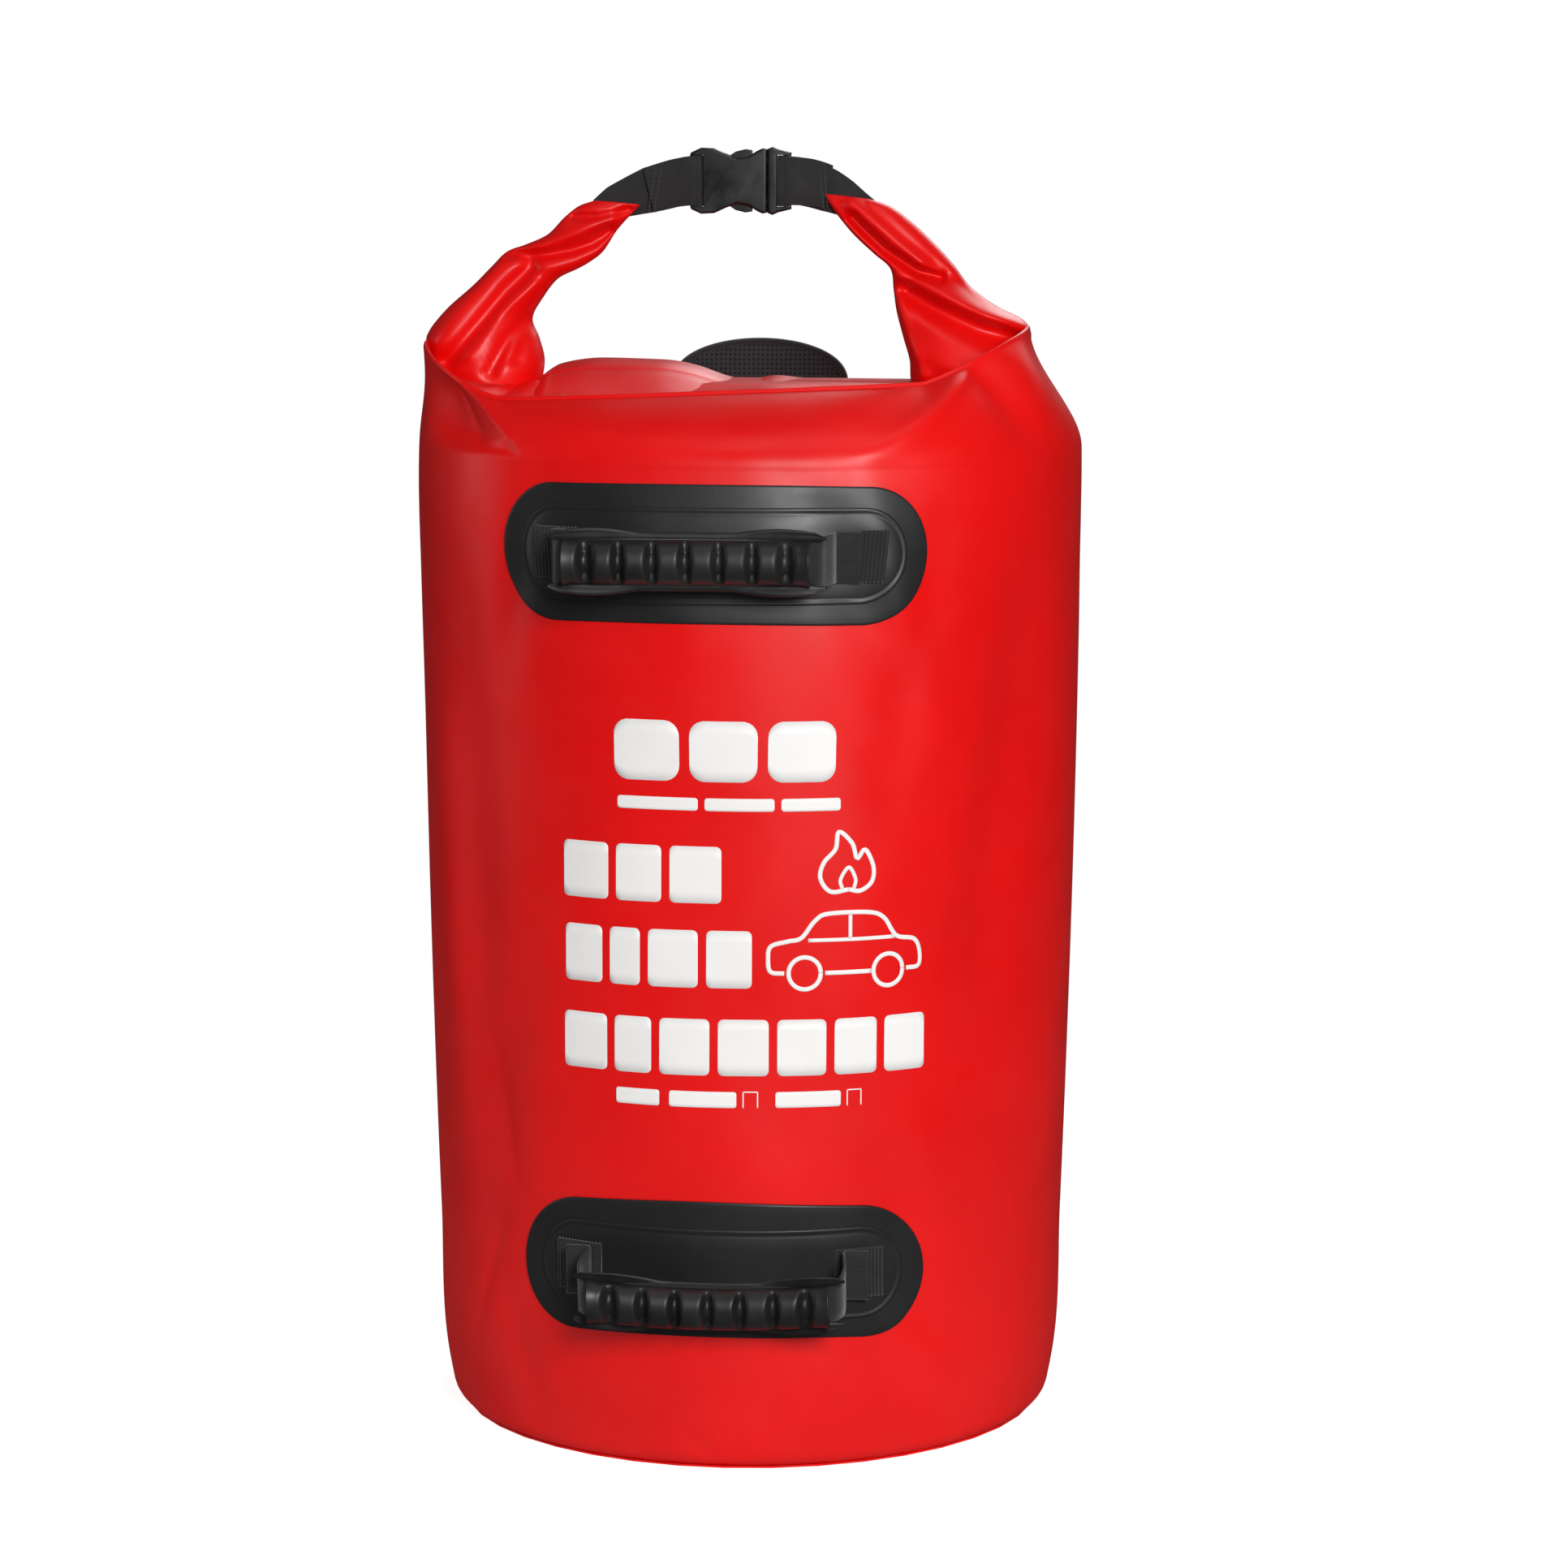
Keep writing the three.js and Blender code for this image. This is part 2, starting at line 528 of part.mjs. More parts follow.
function makeShoulderStrap(name, side) {
  const middle = (s) => YOKE.middle * THREE.MathUtils.smoothstep(110 - Math.abs(s), 0, 80);
  const line = smooth(PAD_LINE.map(([s, z, off]) => behind(side * s + middle(s), z, off)), 14);
  const rings = line.map((p, i) => {
    const [before, after] = [line[Math.max(i - 1, 0)], line[Math.min(i + 1, 14)]];
    const along = new THREE.Vector3().subVectors(after, before).normalize();
    const lean = THREE.MathUtils.lerp(0.2, 1, i / 14);
    const outward = new THREE.Vector3(p.x * lean, p.y, 0).normalize();
    const across = new THREE.Vector3().crossVectors(along, outward).normalize();
    const out = new THREE.Vector3().crossVectors(across, along).normalize();
    const width = PAD.width - (i > 12 ? 7 * (i - 12) : 0);
    return cushion(p, across, out, width, PAD.thick * (i === 0 || i === 14 ? 0.7 : 1), 12);
  });
  add(`${name}_shoulder_pad`, loft(rings), airMesh);

  // The lower pieces share one plane that faces straight off the wall at the anchor.
  const [s, padEnd, lockOff] = PAD_LINE[PAD_LINE.length - 1];
  const across = round(side * s);
  const facing = Math.atan2(across.y, across.x);
  const lockZ = padEnd - LADDER_LOCK.halfHeight - 2.4;
  const at = (z, off) => behind(side * s, 300, off).setZ(z);

  const { halfWidth: w, halfHeight: h, thick } = LADDER_LOCK;
  const lock = cut(
    plate(mirrored([[-w, 0], [-w, h - 3], [2 - w, h], [w - 2, h], [w, h - 3], [w, 0]]), thick, 1),
    box(4 - w, w - 4, -thick, thick, 10, 14.5),
    box(4 - w, w - 4, -thick, thick, 1.5, 6),
    box(4 - w, w - 4, -thick, thick, -14.5, -2.5),
  );
  const lockPlace = at(lockZ, lockOff);
  add(`${name}_ladder_lock`, lock.rotateZ(facing).translate(...lockPlace.toArray()), buckleNylon);

  // Webbing from the lower anchor up inside the lock, over its middle bar and down again outside it.
  const web = [
    [LOWER_ANCHOR_Z + 24, 6],
    [LOWER_ANCHOR_Z + 60, 10],
    [LOWER_ANCHOR_Z + 130, 19],
    [lockZ - 26, lockOff - 5],
    [lockZ - 12, lockOff - 4.4],
    [lockZ + 1.8, lockOff - 4.1],
    [lockZ + 3.8, lockOff - 2.4],
    [lockZ + 4.3, lockOff],
    [lockZ + 3.8, lockOff + 2.4],
    [lockZ + 1.8, lockOff + 4.1],
    [lockZ - 12, lockOff + 4.8],
    [lockZ - 26, lockOff + 6],
    [lockZ - 60, lockOff + 8],
    [lockZ - 105, lockOff + 8],
  ];
  const strap = strip(web.map(([z, off]) => at(z, off)), HARNESS_WEBBING, WEBBING_THICK, across);
  add(`${name}_lower_webbing`, strap, webbing);

  const [length, height] = [88, 66];
  const oval = stadium(length, height);
  const [low, high] = [side * s - length / 2, side * s + length / 2];
  const patch = wallSheet(low, high, 12, (spot) => oval(spot - side * s), LOWER_ANCHOR_Z, GAP, GAP + 1.2, true);
  add(`${name}_lower_patch`, patch, blackSheet);
  const half = HARNESS_WEBBING / 2;
  const [under, over] = [2 * GAP + 1.2, 2 * GAP + 3];
  const square = wallSheet(side * s - half, side * s + half, 4, () => 17, LOWER_ANCHOR_Z, under, over, true);
  add(`${name}_lower_anchor`, square, webbing);
}

function makeHarness() {
  makeYoke();
  makeShoulderStrap("left", -1);
  makeShoulderStrap("right", 1);
}

makeBag();
makeBlanket();
makeHandle("top_handle", TOP_HANDLE);
makeHandle("bottom_handle", BOTTOM_HANDLE);
makeCarryLoop();
makeBuckle();
makeHarness();

export default group;
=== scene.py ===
"""A car fire blanket packed in its red roll-top bag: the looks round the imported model.

Lengths are worked out in millimetres, in the frame's own axes, and put into the meshes in metres.
"""

import bmesh
import bpy
import numpy as np
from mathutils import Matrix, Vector


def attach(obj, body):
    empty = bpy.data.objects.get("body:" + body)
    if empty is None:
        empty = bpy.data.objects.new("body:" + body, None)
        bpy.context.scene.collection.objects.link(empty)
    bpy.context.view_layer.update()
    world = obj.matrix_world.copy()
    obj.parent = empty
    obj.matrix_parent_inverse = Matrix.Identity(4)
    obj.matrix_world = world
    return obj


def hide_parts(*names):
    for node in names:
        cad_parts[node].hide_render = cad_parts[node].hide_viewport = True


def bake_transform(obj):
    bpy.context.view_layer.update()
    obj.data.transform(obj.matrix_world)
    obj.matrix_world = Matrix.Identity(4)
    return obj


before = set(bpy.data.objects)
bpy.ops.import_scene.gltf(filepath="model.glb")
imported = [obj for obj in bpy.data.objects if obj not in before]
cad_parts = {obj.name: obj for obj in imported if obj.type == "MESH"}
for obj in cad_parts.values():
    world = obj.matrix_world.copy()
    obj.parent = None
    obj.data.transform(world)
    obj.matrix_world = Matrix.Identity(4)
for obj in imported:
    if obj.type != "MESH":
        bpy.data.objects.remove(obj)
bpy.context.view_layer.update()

MM = 0.001


# ---------------------------------------------------------------- camera, light and floor

TARGET = Vector((0.0, 0.0, 0.330))
CAMERA_DISTANCE = 3.0
CAMERA_AZIMUTH = np.radians(5.0)
CAMERA_ELEVATION = np.radians(10.0)


def make_camera():
    data = bpy.data.cameras.new("camera")
    camera = bpy.data.objects.new("camera", data)
    bpy.context.collection.objects.link(camera)
    level = CAMERA_DISTANCE * np.cos(CAMERA_ELEVATION)
    camera.location = TARGET + Vector(
        (
            level * np.sin(CAMERA_AZIMUTH),
            -level * np.cos(CAMERA_AZIMUTH),
            CAMERA_DISTANCE * np.sin(CAMERA_ELEVATION),
        )
    )
    camera.rotation_euler = (TARGET - camera.location).to_track_quat("-Z", "Y").to_euler()
    data.sensor_width = 36.0
    data.lens = 110.9
    data.shift_x = 0.0212
    data.shift_y = 0.0554
    bpy.context.scene.camera = camera


def area_light(name, place, aim, size, power, colour=(1, 1, 1)):
    """A soft rectangular light at a place, pointing at aim; size is its width and height."""
    data = bpy.data.lights.new(name, "AREA")
    data.shape = "RECTANGLE"
    data.size, data.size_y = size
    data.energy = power
    data.color = colour
    light = bpy.data.objects.new(name, data)
    bpy.context.collection.objects.link(light)
    light.location = place
    light.rotation_euler = (Vector(aim) - Vector(place)).to_track_quat("-Z", "Y").to_euler()


ROOM = {"diffuse": 0.19, "gloss": 0.03}  # how bright the white room is for each kind of light it gives


def make_studio():
    """A white room: the world lights it gently and shows as plain white; softboxes shape the bag."""
    world = bpy.data.worlds.new("studio")
    bpy.context.scene.world = world
    world.use_nodes = True
    tree = world.node_tree
    ray = tree.nodes.new("ShaderNodeLightPath")
    shown = tree.nodes["Background"]
    shown.inputs["Color"].default_value = (1, 1, 1, 1)
    shown.inputs["Strength"].default_value = ROOM["diffuse"]
    for kind, strength in (("Is Glossy Ray", ROOM["gloss"]), ("Is Camera Ray", 1.0)):
        other = tree.nodes.new("ShaderNodeBackground")
        other.inputs["Color"].default_value = (1, 1, 1, 1)
        other.inputs["Strength"].default_value = strength
        either = tree.nodes.new("ShaderNodeMixShader")
        tree.links.new(ray.outputs[kind], either.inputs["Fac"])
        tree.links.new(shown.outputs[0], either.inputs[1])
        tree.links.new(other.outputs[0], either.inputs[2])
        shown = either
    tree.links.new(shown.outputs[0], tree.nodes["World Output"].inputs["Surface"])
    bpy.context.scene.view_settings.view_transform = "Standard"
    area_light("key_softbox", (0.9, -2.45, 1.35), (0.05, 0, 0.47), (0.85, 0.85), 62)
    area_light("left_edge_strip", (-2.1, -0.1, 0.9), (0, 0, 0.4), (0.4, 1.4), 4.5)
    area_light("top_softbox", (0.2, -0.6, 2.3), (0, 0, 0.5), (0.9, 0.9), 4)
    area_light("back_softbox", (0.6, 2.2, 1.9), (0, 0, 0.4), (1.4, 1.4), 26)

    bpy.ops.mesh.primitive_plane_add(size=1.7)
    floor = bpy.context.object
    floor.name = "studio_floor"
    pale = bpy.data.materials.new("pale_floor")
    pale.use_nodes = True
    shader = pale.node_tree.nodes["Principled BSDF"]
    shader.inputs["Base Color"].default_value = (0.35, 0.35, 0.35, 1)
    shader.inputs["Roughness"].default_value = 0.9
    shader.inputs["Emission Color"].default_value = (1, 1, 1, 1)
    floor_ray = pale.node_tree.nodes.new("ShaderNodeLightPath")
    glow = pale.node_tree.nodes.new("ShaderNodeMath")
    glow.operation = "MULTIPLY_ADD"  # the floor shows whiter than it lights the bag
    pale.node_tree.links.new(floor_ray.outputs["Is Camera Ray"], glow.inputs[0])
    glow.inputs[1].default_value = 0.4
    glow.inputs[2].default_value = 0.5
    pale.node_tree.links.new(glow.outputs[0], shader.inputs["Emission Strength"])
    floor.data.materials.append(pale)
    floor.visible_glossy = False


make_camera()
make_studio()


# ---------------------------------------------------------------- materials

WAVE_PERIOD = 2 * np.pi / 20  # of the Wave texture at scale 1


class Finish:
    """A material and its shader, with short calls for the nodes that this object's finishes use."""

    def __init__(self, name, colour, roughness, **sockets):
        self.material = bpy.data.materials.new(name)
        self.material.use_nodes = True
        self.tree = self.material.node_tree
        self.shader = self.tree.nodes["Principled BSDF"]
        self.shader.inputs["Base Color"].default_value = (*colour, 1)
        self.shader.inputs["Roughness"].default_value = roughness
        for socket, value in sockets.items():
            self.shader.inputs[socket.replace("_", " ")].default_value = value
        self.height = None

    def node(self, kind, **settings):
        made = self.tree.nodes.new("ShaderNode" + kind)
        for key, value in settings.items():
            setattr(made, key, value)
        return made

    def link(self, output, socket):
        self.tree.links.new(output, socket)

    def place(self, source="Object", scale=(1, 1, 1), turn=0.0):
        """Coordinates on the piece: metres of Object space, or metres along the cloth for UV."""
        mapping = self.node("Mapping")
        mapping.inputs["Scale"].default_value = scale
        mapping.inputs["Rotation"].default_value = (0, 0, turn)
        self.link(self.node("TexCoord").outputs[source], mapping.inputs["Vector"])
        return mapping.outputs["Vector"]

    def noise(self, scale, detail=3.0, source="Object", stretch=(1, 1, 1), rough=0.55):
        made = self.node("TexNoise")
        made.inputs["Scale"].default_value = scale
        made.inputs["Detail"].default_value = detail
        made.inputs["Roughness"].default_value = rough
        self.link(self.place(source, stretch), made.inputs["Vector"])
        return made.outputs["Fac"]

    def bands(self, pitch, source="UV", across="X", turn=0.0, profile="SIN"):
        """Even bands with the given pitch in millimetres."""
        made = self.node("TexWave", bands_direction=across, wave_profile=profile)
        made.inputs["Scale"].default_value = 1.0
        self.link(self.place(source, (WAVE_PERIOD / (pitch * MM),) * 3, turn), made.inputs["Vector"])
        return made.outputs["Fac"]

    def maths(self, operation, a, b=0.0):
        made = self.node("Math", operation=operation)
        for socket, value in zip(made.inputs, (a, b)):
            if isinstance(value, (int, float)):
                socket.default_value = value
            else:
                self.link(value, socket)
        return made.outputs[0]

    def ramp(self, factor, stops):
        made = self.node("ValToRGB")
        elements = made.color_ramp.elements
        while len(elements) < len(stops):
            elements.new(0.5)
        for element, (position, colour) in zip(elements, stops):
            element.position = position
            element.color = (*colour, 1)
        self.link(factor, made.inputs["Fac"])
        return made.outputs["Color"]

    def colour_between(self, factor, dark, light, low=0.3, high=0.7):
        self.link(self.ramp(factor, [(low, dark), (high, light)]), self.shader.inputs["Base Color"])

    def roughness_between(self, factor, low, high):
        spread = self.node("MapRange")
        spread.inputs["From Min"].default_value = 0.3
        spread.inputs["From Max"].default_value = 0.7
        spread.inputs["To Min"].default_value = low
        spread.inputs["To Max"].default_value = high
        self.link(factor, spread.inputs["Value"])
        self.link(spread.outputs["Result"], self.shader.inputs["Roughness"])

    def bump(self, factor, depth, strength=1.0):
        """Adds a bump of a depth in millimetres on top of those before it."""
        made = self.node("Bump")
        made.inputs["Strength"].default_value = strength
        made.inputs["Distance"].default_value = depth * MM
        self.link(factor, made.inputs["Height"])
        if self.height is not None:
            self.link(self.height, made.inputs["Normal"])
        self.height = made.outputs["Normal"]
        self.link(self.height, self.shader.inputs["Normal"])


def coated_sheet(name, dark, light, roughness, scrim=0.035, **sockets):
    """Woven cloth under a smooth coating: the weave barely shows, and the coat is a little uneven."""
    made = Finish(name, light, roughness, **sockets)
    made.colour_between(made.noise(9, 4), dark, light)
    made.roughness_between(made.noise(26, 5), roughness - 0.05, roughness + 0.06)
    weave = made.maths("MULTIPLY", made.bands(1.1, across="X"), made.bands(1.1, across="Y"))
    made.bump(weave, scrim, 0.5)
    made.bump(made.noise(380, 3), 0.05, 0.35)
    return made.material


RED_SHEET = coated_sheet(
    "red_coated_fabric", (0.68, 0.0018, 0.0018), (0.77, 0.003, 0.0026), 0.39, Specular_IOR_Level=0.3
)


# ---------------------------------------------------------------- pieces from grids


def quads(rows, columns, closed):
    """Corner numbers of every face of a rows by columns grid; closed joins the last column to the first."""
    last = columns if closed else columns - 1
    row, column = np.meshgrid(np.arange(rows - 1), np.arange(last), indexing="ij")
    ahead = (column + 1) % columns
    here, above = row * columns, (row + 1) * columns
    corners = np.stack([here + column, here + ahead, above + ahead, above + column], -1)
    return corners.reshape(-1, 4)


def quad_places(rows, columns, closed, along, across):
    """Each face corner's place on the cloth, from the grid's own lengths in millimetres."""
    last = columns if closed else columns - 1
    row, column = np.meshgrid(np.arange(rows - 1), np.arange(last), indexing="ij")
    u = [across[column], across[column + 1], across[column + 1], across[column]]
    v = [along[row], along[row], along[row + 1], along[row + 1]]
    return np.stack([np.stack(u, -1), np.stack(v, -1)], -1).reshape(-1, 2) * MM


def new_piece(name, points, faces, material, smooth=True, places=None, closed=True):
    """A mesh piece from points in millimetres and rows of corner numbers; closed ones face outwards."""
    mesh = bpy.data.meshes.new(name)
    faces = [np.asarray(group) for group in (faces if isinstance(faces, list) else [faces])]
    sizes = np.concatenate([np.full(len(group), group.shape[1]) for group in faces])
    corners = np.concatenate([group.ravel() for group in faces])
    mesh.vertices.add(len(points))
    mesh.vertices.foreach_set("co", (np.asarray(points, float) * MM).ravel().astype(np.float32))
    mesh.loops.add(len(corners))
    mesh.loops.foreach_set("vertex_index", corners.astype(np.int32))
    mesh.polygons.add(len(sizes))
    mesh.polygons.foreach_set("loop_start", np.concatenate([[0], np.cumsum(sizes)[:-1]]).astype(np.int32))
    mesh.polygons.foreach_set("use_smooth", np.full(len(sizes), smooth))
    if places is not None:
        layer = mesh.uv_layers.new(name="cloth")
        layer.data.foreach_set("uv", places.ravel().astype(np.float32))
    mesh.update(calc_edges=True)
    mesh.validate()
    if closed:
        form = bmesh.new()
        form.from_mesh(mesh)
        bmesh.ops.recalc_face_normals(form, faces=form.faces)
        form.to_mesh(mesh)
        form.free()
    made = bpy.data.objects.new(name, mesh)
    bpy.context.collection.objects.link(made)
    mesh.materials.append(material)
    return made


def lengths_along(points):
    """Running length along a row of points."""
    return np.concatenate([[0], np.cumsum(np.linalg.norm(np.diff(points, axis=0), axis=1))])


def tube(rings):
    """Points, faces and places on the cloth of a closed tube through rings of points (rows, count, 3).
    Each end is closed by a fan on its middle."""
    rows, count = rings.shape[:2]
    along = lengths_along(rings[:, count // 4])
    girth = rings[rows // 2]
    across = np.append(lengths_along(girth), 0)
    across[-1] = across[-2] + np.linalg.norm(girth[-1] - girth[0])
    ring, last, middle = np.arange(count), (rows - 1) * count, rows * count
    ahead = (ring + 1) % count
    low = np.stack([np.full(count, middle), ahead, ring], -1)
    high = np.stack([np.full(count, middle + 1), last + ring, last + ahead], -1)
    points = np.concatenate([rings.reshape(-1, 3), rings[[0, -1]].mean(1)])
    places = np.concatenate([quad_places(rows, count, True, along, across), np.zeros((6 * count, 2))])
    return points, [quads(rows, count, True), np.concatenate([low, high])], places


def joined(name, parts, material, smooth=True):
    """One piece from several closed parts, as tube gives them; all their four-sided faces come first."""
    starts = np.concatenate([[0], np.cumsum([len(points) for points, _, _ in parts])])
    points = np.concatenate([points for points, _, _ in parts])
    fours = [faces[0] + start for (_, faces, _), start in zip(parts, starts)]
    threes = [faces[1] + start for (_, faces, _), start in zip(parts, starts)]
    split = [4 * len(faces[0]) for _, faces, _ in parts]
    places = [places[:k] for (_, _, places), k in zip(parts, split)]
    places += [places[k:] for (_, _, places), k in zip(parts, split)]
    faces = [np.concatenate(fours), np.concatenate(threes)]
    return new_piece(name, points, faces, material, smooth, np.concatenate(places))


def closed_tube(name, rings, material):
    return joined(name, [tube(rings)], material)


# ---------------------------------------------------------------- the bag's skin

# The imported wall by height: half width and half depth.
WALL = np.array(
    [
        (0, 185, 184),
        (30, 190.5, 188.5),
        (120, 194, 190),
        (270, 198, 188.5),
        (420, 200.6, 184.5),
        (520, 202, 179),
        (580, 202.5, 172),
        (600, 202, 168),
    ]
)
ROUND = 192.0  # mean radius, which turns an angle into a length round the bag
SHOULDER = 594.0  # the wall leans in above this height
RIM = {"half_width": 184.0, "half_depth": 110.0, "middle": -14.0, "squareness": 3.0}


def between(value, heights, sizes):
    """Smooth curve through the given sizes at the given heights (cubic, with Catmull slopes)."""
    slopes = np.gradient(sizes, heights)
    k = np.clip(np.searchsorted(heights, value) - 1, 0, len(heights) - 2)
    step = heights[k + 1] - heights[k]
    t = np.clip((value - heights[k]) / step, 0, 1)
    return (
        sizes[k] * (1 + 2 * t) * (1 - t) ** 2
        + sizes[k + 1] * t * t * (3 - 2 * t)
        + step * (slopes[k] * t * (1 - t) ** 2 - slopes[k + 1] * t * t * (1 - t))
    )


def rise(value, start, end):
    """0 before start, 1 after end, smooth between."""
    t = np.clip((value - start) / (end - start), 0, 1)
    return t * t * (3 - 2 * t)


def signed_power(value, power):
    """The value's size to a power, with its own sign: a power below 1 squares up an oval."""
    return np.sign(value) * np.abs(value) ** power


def segment_distance(x, y, start, end):
    """Distance to a straight line between two places, how far along it (0 to 1), and on which side."""
    ax, ay = start
    dx, dy = end[0] - ax, end[1] - ay
    length = np.hypot(dx, dy)
    along = ((x - ax) * dx + (y - ay) * dy) / length**2
    t = np.clip(along, 0, 1)
    side = ((x - ax) * dy - (y - ay) * dx) / length
    return np.hypot(x - ax - t * dx, y - ay - t * dy), t, side


# Folds in the wall: start and end (millimetres round from the front's middle, height), half width, depth.
# A depth above 0 is a valley. Sharp ones come to a line, and soft ones are rounded.
SOFT_FOLDS = [
    ((198, 520), (150, 225), 26, 5.0),
    ((250, 470), (235, 200), 40, -3.0),
    ((-175, 500), (-160, 120), 26, 3.2),
    ((-215, 430), (-185, 170), 22, -2.4),
    ((-120, 330), (-150, 190), 18, 1.6),
    ((95, 420), (70, 260), 30, -1.8),
    ((-40, 440), (20, 230), 34, 1.8),
    ((28, 592), (96, 470), 17, 2.6),
    ((70, 590), (128, 440), 14, -2.4),
    ((120, 560), (92, 380), 16, 2.0),
    ((-60, 590), (-20, 500), 22, -1.6),
    ((-105, 590), (-140, 470), 14, 1.8),
    ((-20, 205), (60, 150), 22, -1.4),
    ((110, 230), (150, 90), 18, -2.0),
    ((40, 100), (118, 34), 12, 1.8),
    ((80, 108), (140, 50), 10, -1.8),
    ((-150, 95), (-120, 20), 12, 1.6),
    ((330, 560), (420, 300), 30, 3.4),
    ((-330, 560), (-400, 260), 30, 3.0),
    ((520, 480), (480, 180), 36, 3.0),
    ((-540, 420), (-500, 120), 36, 2.6),
]
SHARP_FOLDS = [
    ((-28, 26), (-4, 6), 5, 2.2),
    ((12, 22), (2, 5), 4, 1.4),
    ((-150, 150), (-185, 60), 7, 1.6),
    ((-160, 245), (-135, 150), 8, 1.3),
    ((60, 24), (96, 40), 5, -1.2),
]


def wall_dents(s, z):
    """How far the wall is pushed in at each place: the sum of its folds, each fading at its ends."""
    total = np.zeros(np.broadcast(s, z).shape)
    for start, end, width, depth in SOFT_FOLDS:
        away, t, _ = segment_distance(s, z, start, end)
        total += depth * np.exp(-((away / width) ** 2)) * np.sin(np.pi * np.clip(0.12 + 0.76 * t, 0, 1))
    for start, end, width, depth in SHARP_FOLDS:
        away, t, _ = segment_distance(s, z, start, end)
        total += depth * np.exp(-away / width) * np.sin(np.pi * np.clip(0.1 + 0.8 * t, 0, 1))
    return total


def wall(turn, z):
    """The smooth wall at an angle from the front (positive towards +X) and a height: an ellipse, a little
    squarer near the shoulder, pushed in along its normal by its dents."""
    half_width = between(z, WALL[:, 0], WALL[:, 1])
    half_depth = between(z, WALL[:, 0], WALL[:, 2])
    edge = np.clip(1 - z / 11, 0, 1)
    inset = 11 * (1 - np.sqrt(np.clip(1 - edge**2, 0, 1)))
    power = 1 - 0.1 * rise(z, 420, 600)
    across = signed_power(np.sin(turn), power)
    ahead = signed_power(np.cos(turn), power)
    normal = np.stack([np.sin(turn) / half_width, -np.cos(turn) / half_depth], -1)
    normal /= np.linalg.norm(normal, axis=-1, keepdims=True)
    push = inset + wall_dents(turn * ROUND, z)
    x = (half_width * across) - push * normal[..., 0]
    y = -(half_depth * ahead) - push * normal[..., 1]
    return np.stack([x, y, z * np.ones_like(x)], -1)


def rim(turn):
    """The neckline: a squarish ring whose two sides climb to the ears."""
    power = 2 / RIM["squareness"]
    sine, cosine = np.sin(turn), np.cos(turn)
    x = RIM["middle"] + RIM["half_width"] * signed_power(sine, power)
    y = -RIM["half_depth"] * signed_power(cosine, power)
    z = 629 + 0.042 * (x + 124)
    z += 31 * np.clip((-138 - x) / 60, 0, 1) ** 1.5
    z += 25 * np.clip((x - 110) / 60, 0, 1) ** 1.15
    behind_it = np.clip(-cosine, 0, 1) ** 0.6
    z -= behind_it * (9 + 13 * rise(x, -52, -8))
    return np.stack([x, y, z], -1)


def corner_folds(turn, t):
    """The pleats from the neckline's two corners, as millimetres pushed in; t is 0 at shoulder, 1 at rim."""
    s = np.degrees(turn)
    up = t * 60
    # left corner: the side panel is tucked in behind a crease that runs down from the corner
    away, _, side = segment_distance(s, up, (-47, 64), (-38, 18))
    facet = np.clip(away * np.sign(side) / 9.0, 0, 1) ** 0.85 * (1 - rise(away, 14, 36))
    left = 8.0 * facet * rise(up, 2, 26) * (1 - rise(up, 56, 64))
    hollow = 7 * np.exp(-(((s + 66) / 15) ** 2) - ((up - 36) / 20) ** 2)
    # right corner: two soft ridges fan out from it
    away, _, _ = segment_distance(s, up, (46, 62), (24, 8))
    fan = -6.0 * np.exp(-((away / 4.5) ** 2)) * rise(up, -5, 40)
    away, _, _ = segment_distance(s, up, (50, 60), (60, 5))
    fan += 7.5 * np.exp(-((away / 7) ** 2)) * rise(up, -5, 40)
    back = 5 * np.exp(-(((np.abs(s) - 128) / 9) ** 2)) * rise(up, 5, 50)
    return left + hollow + fan + back


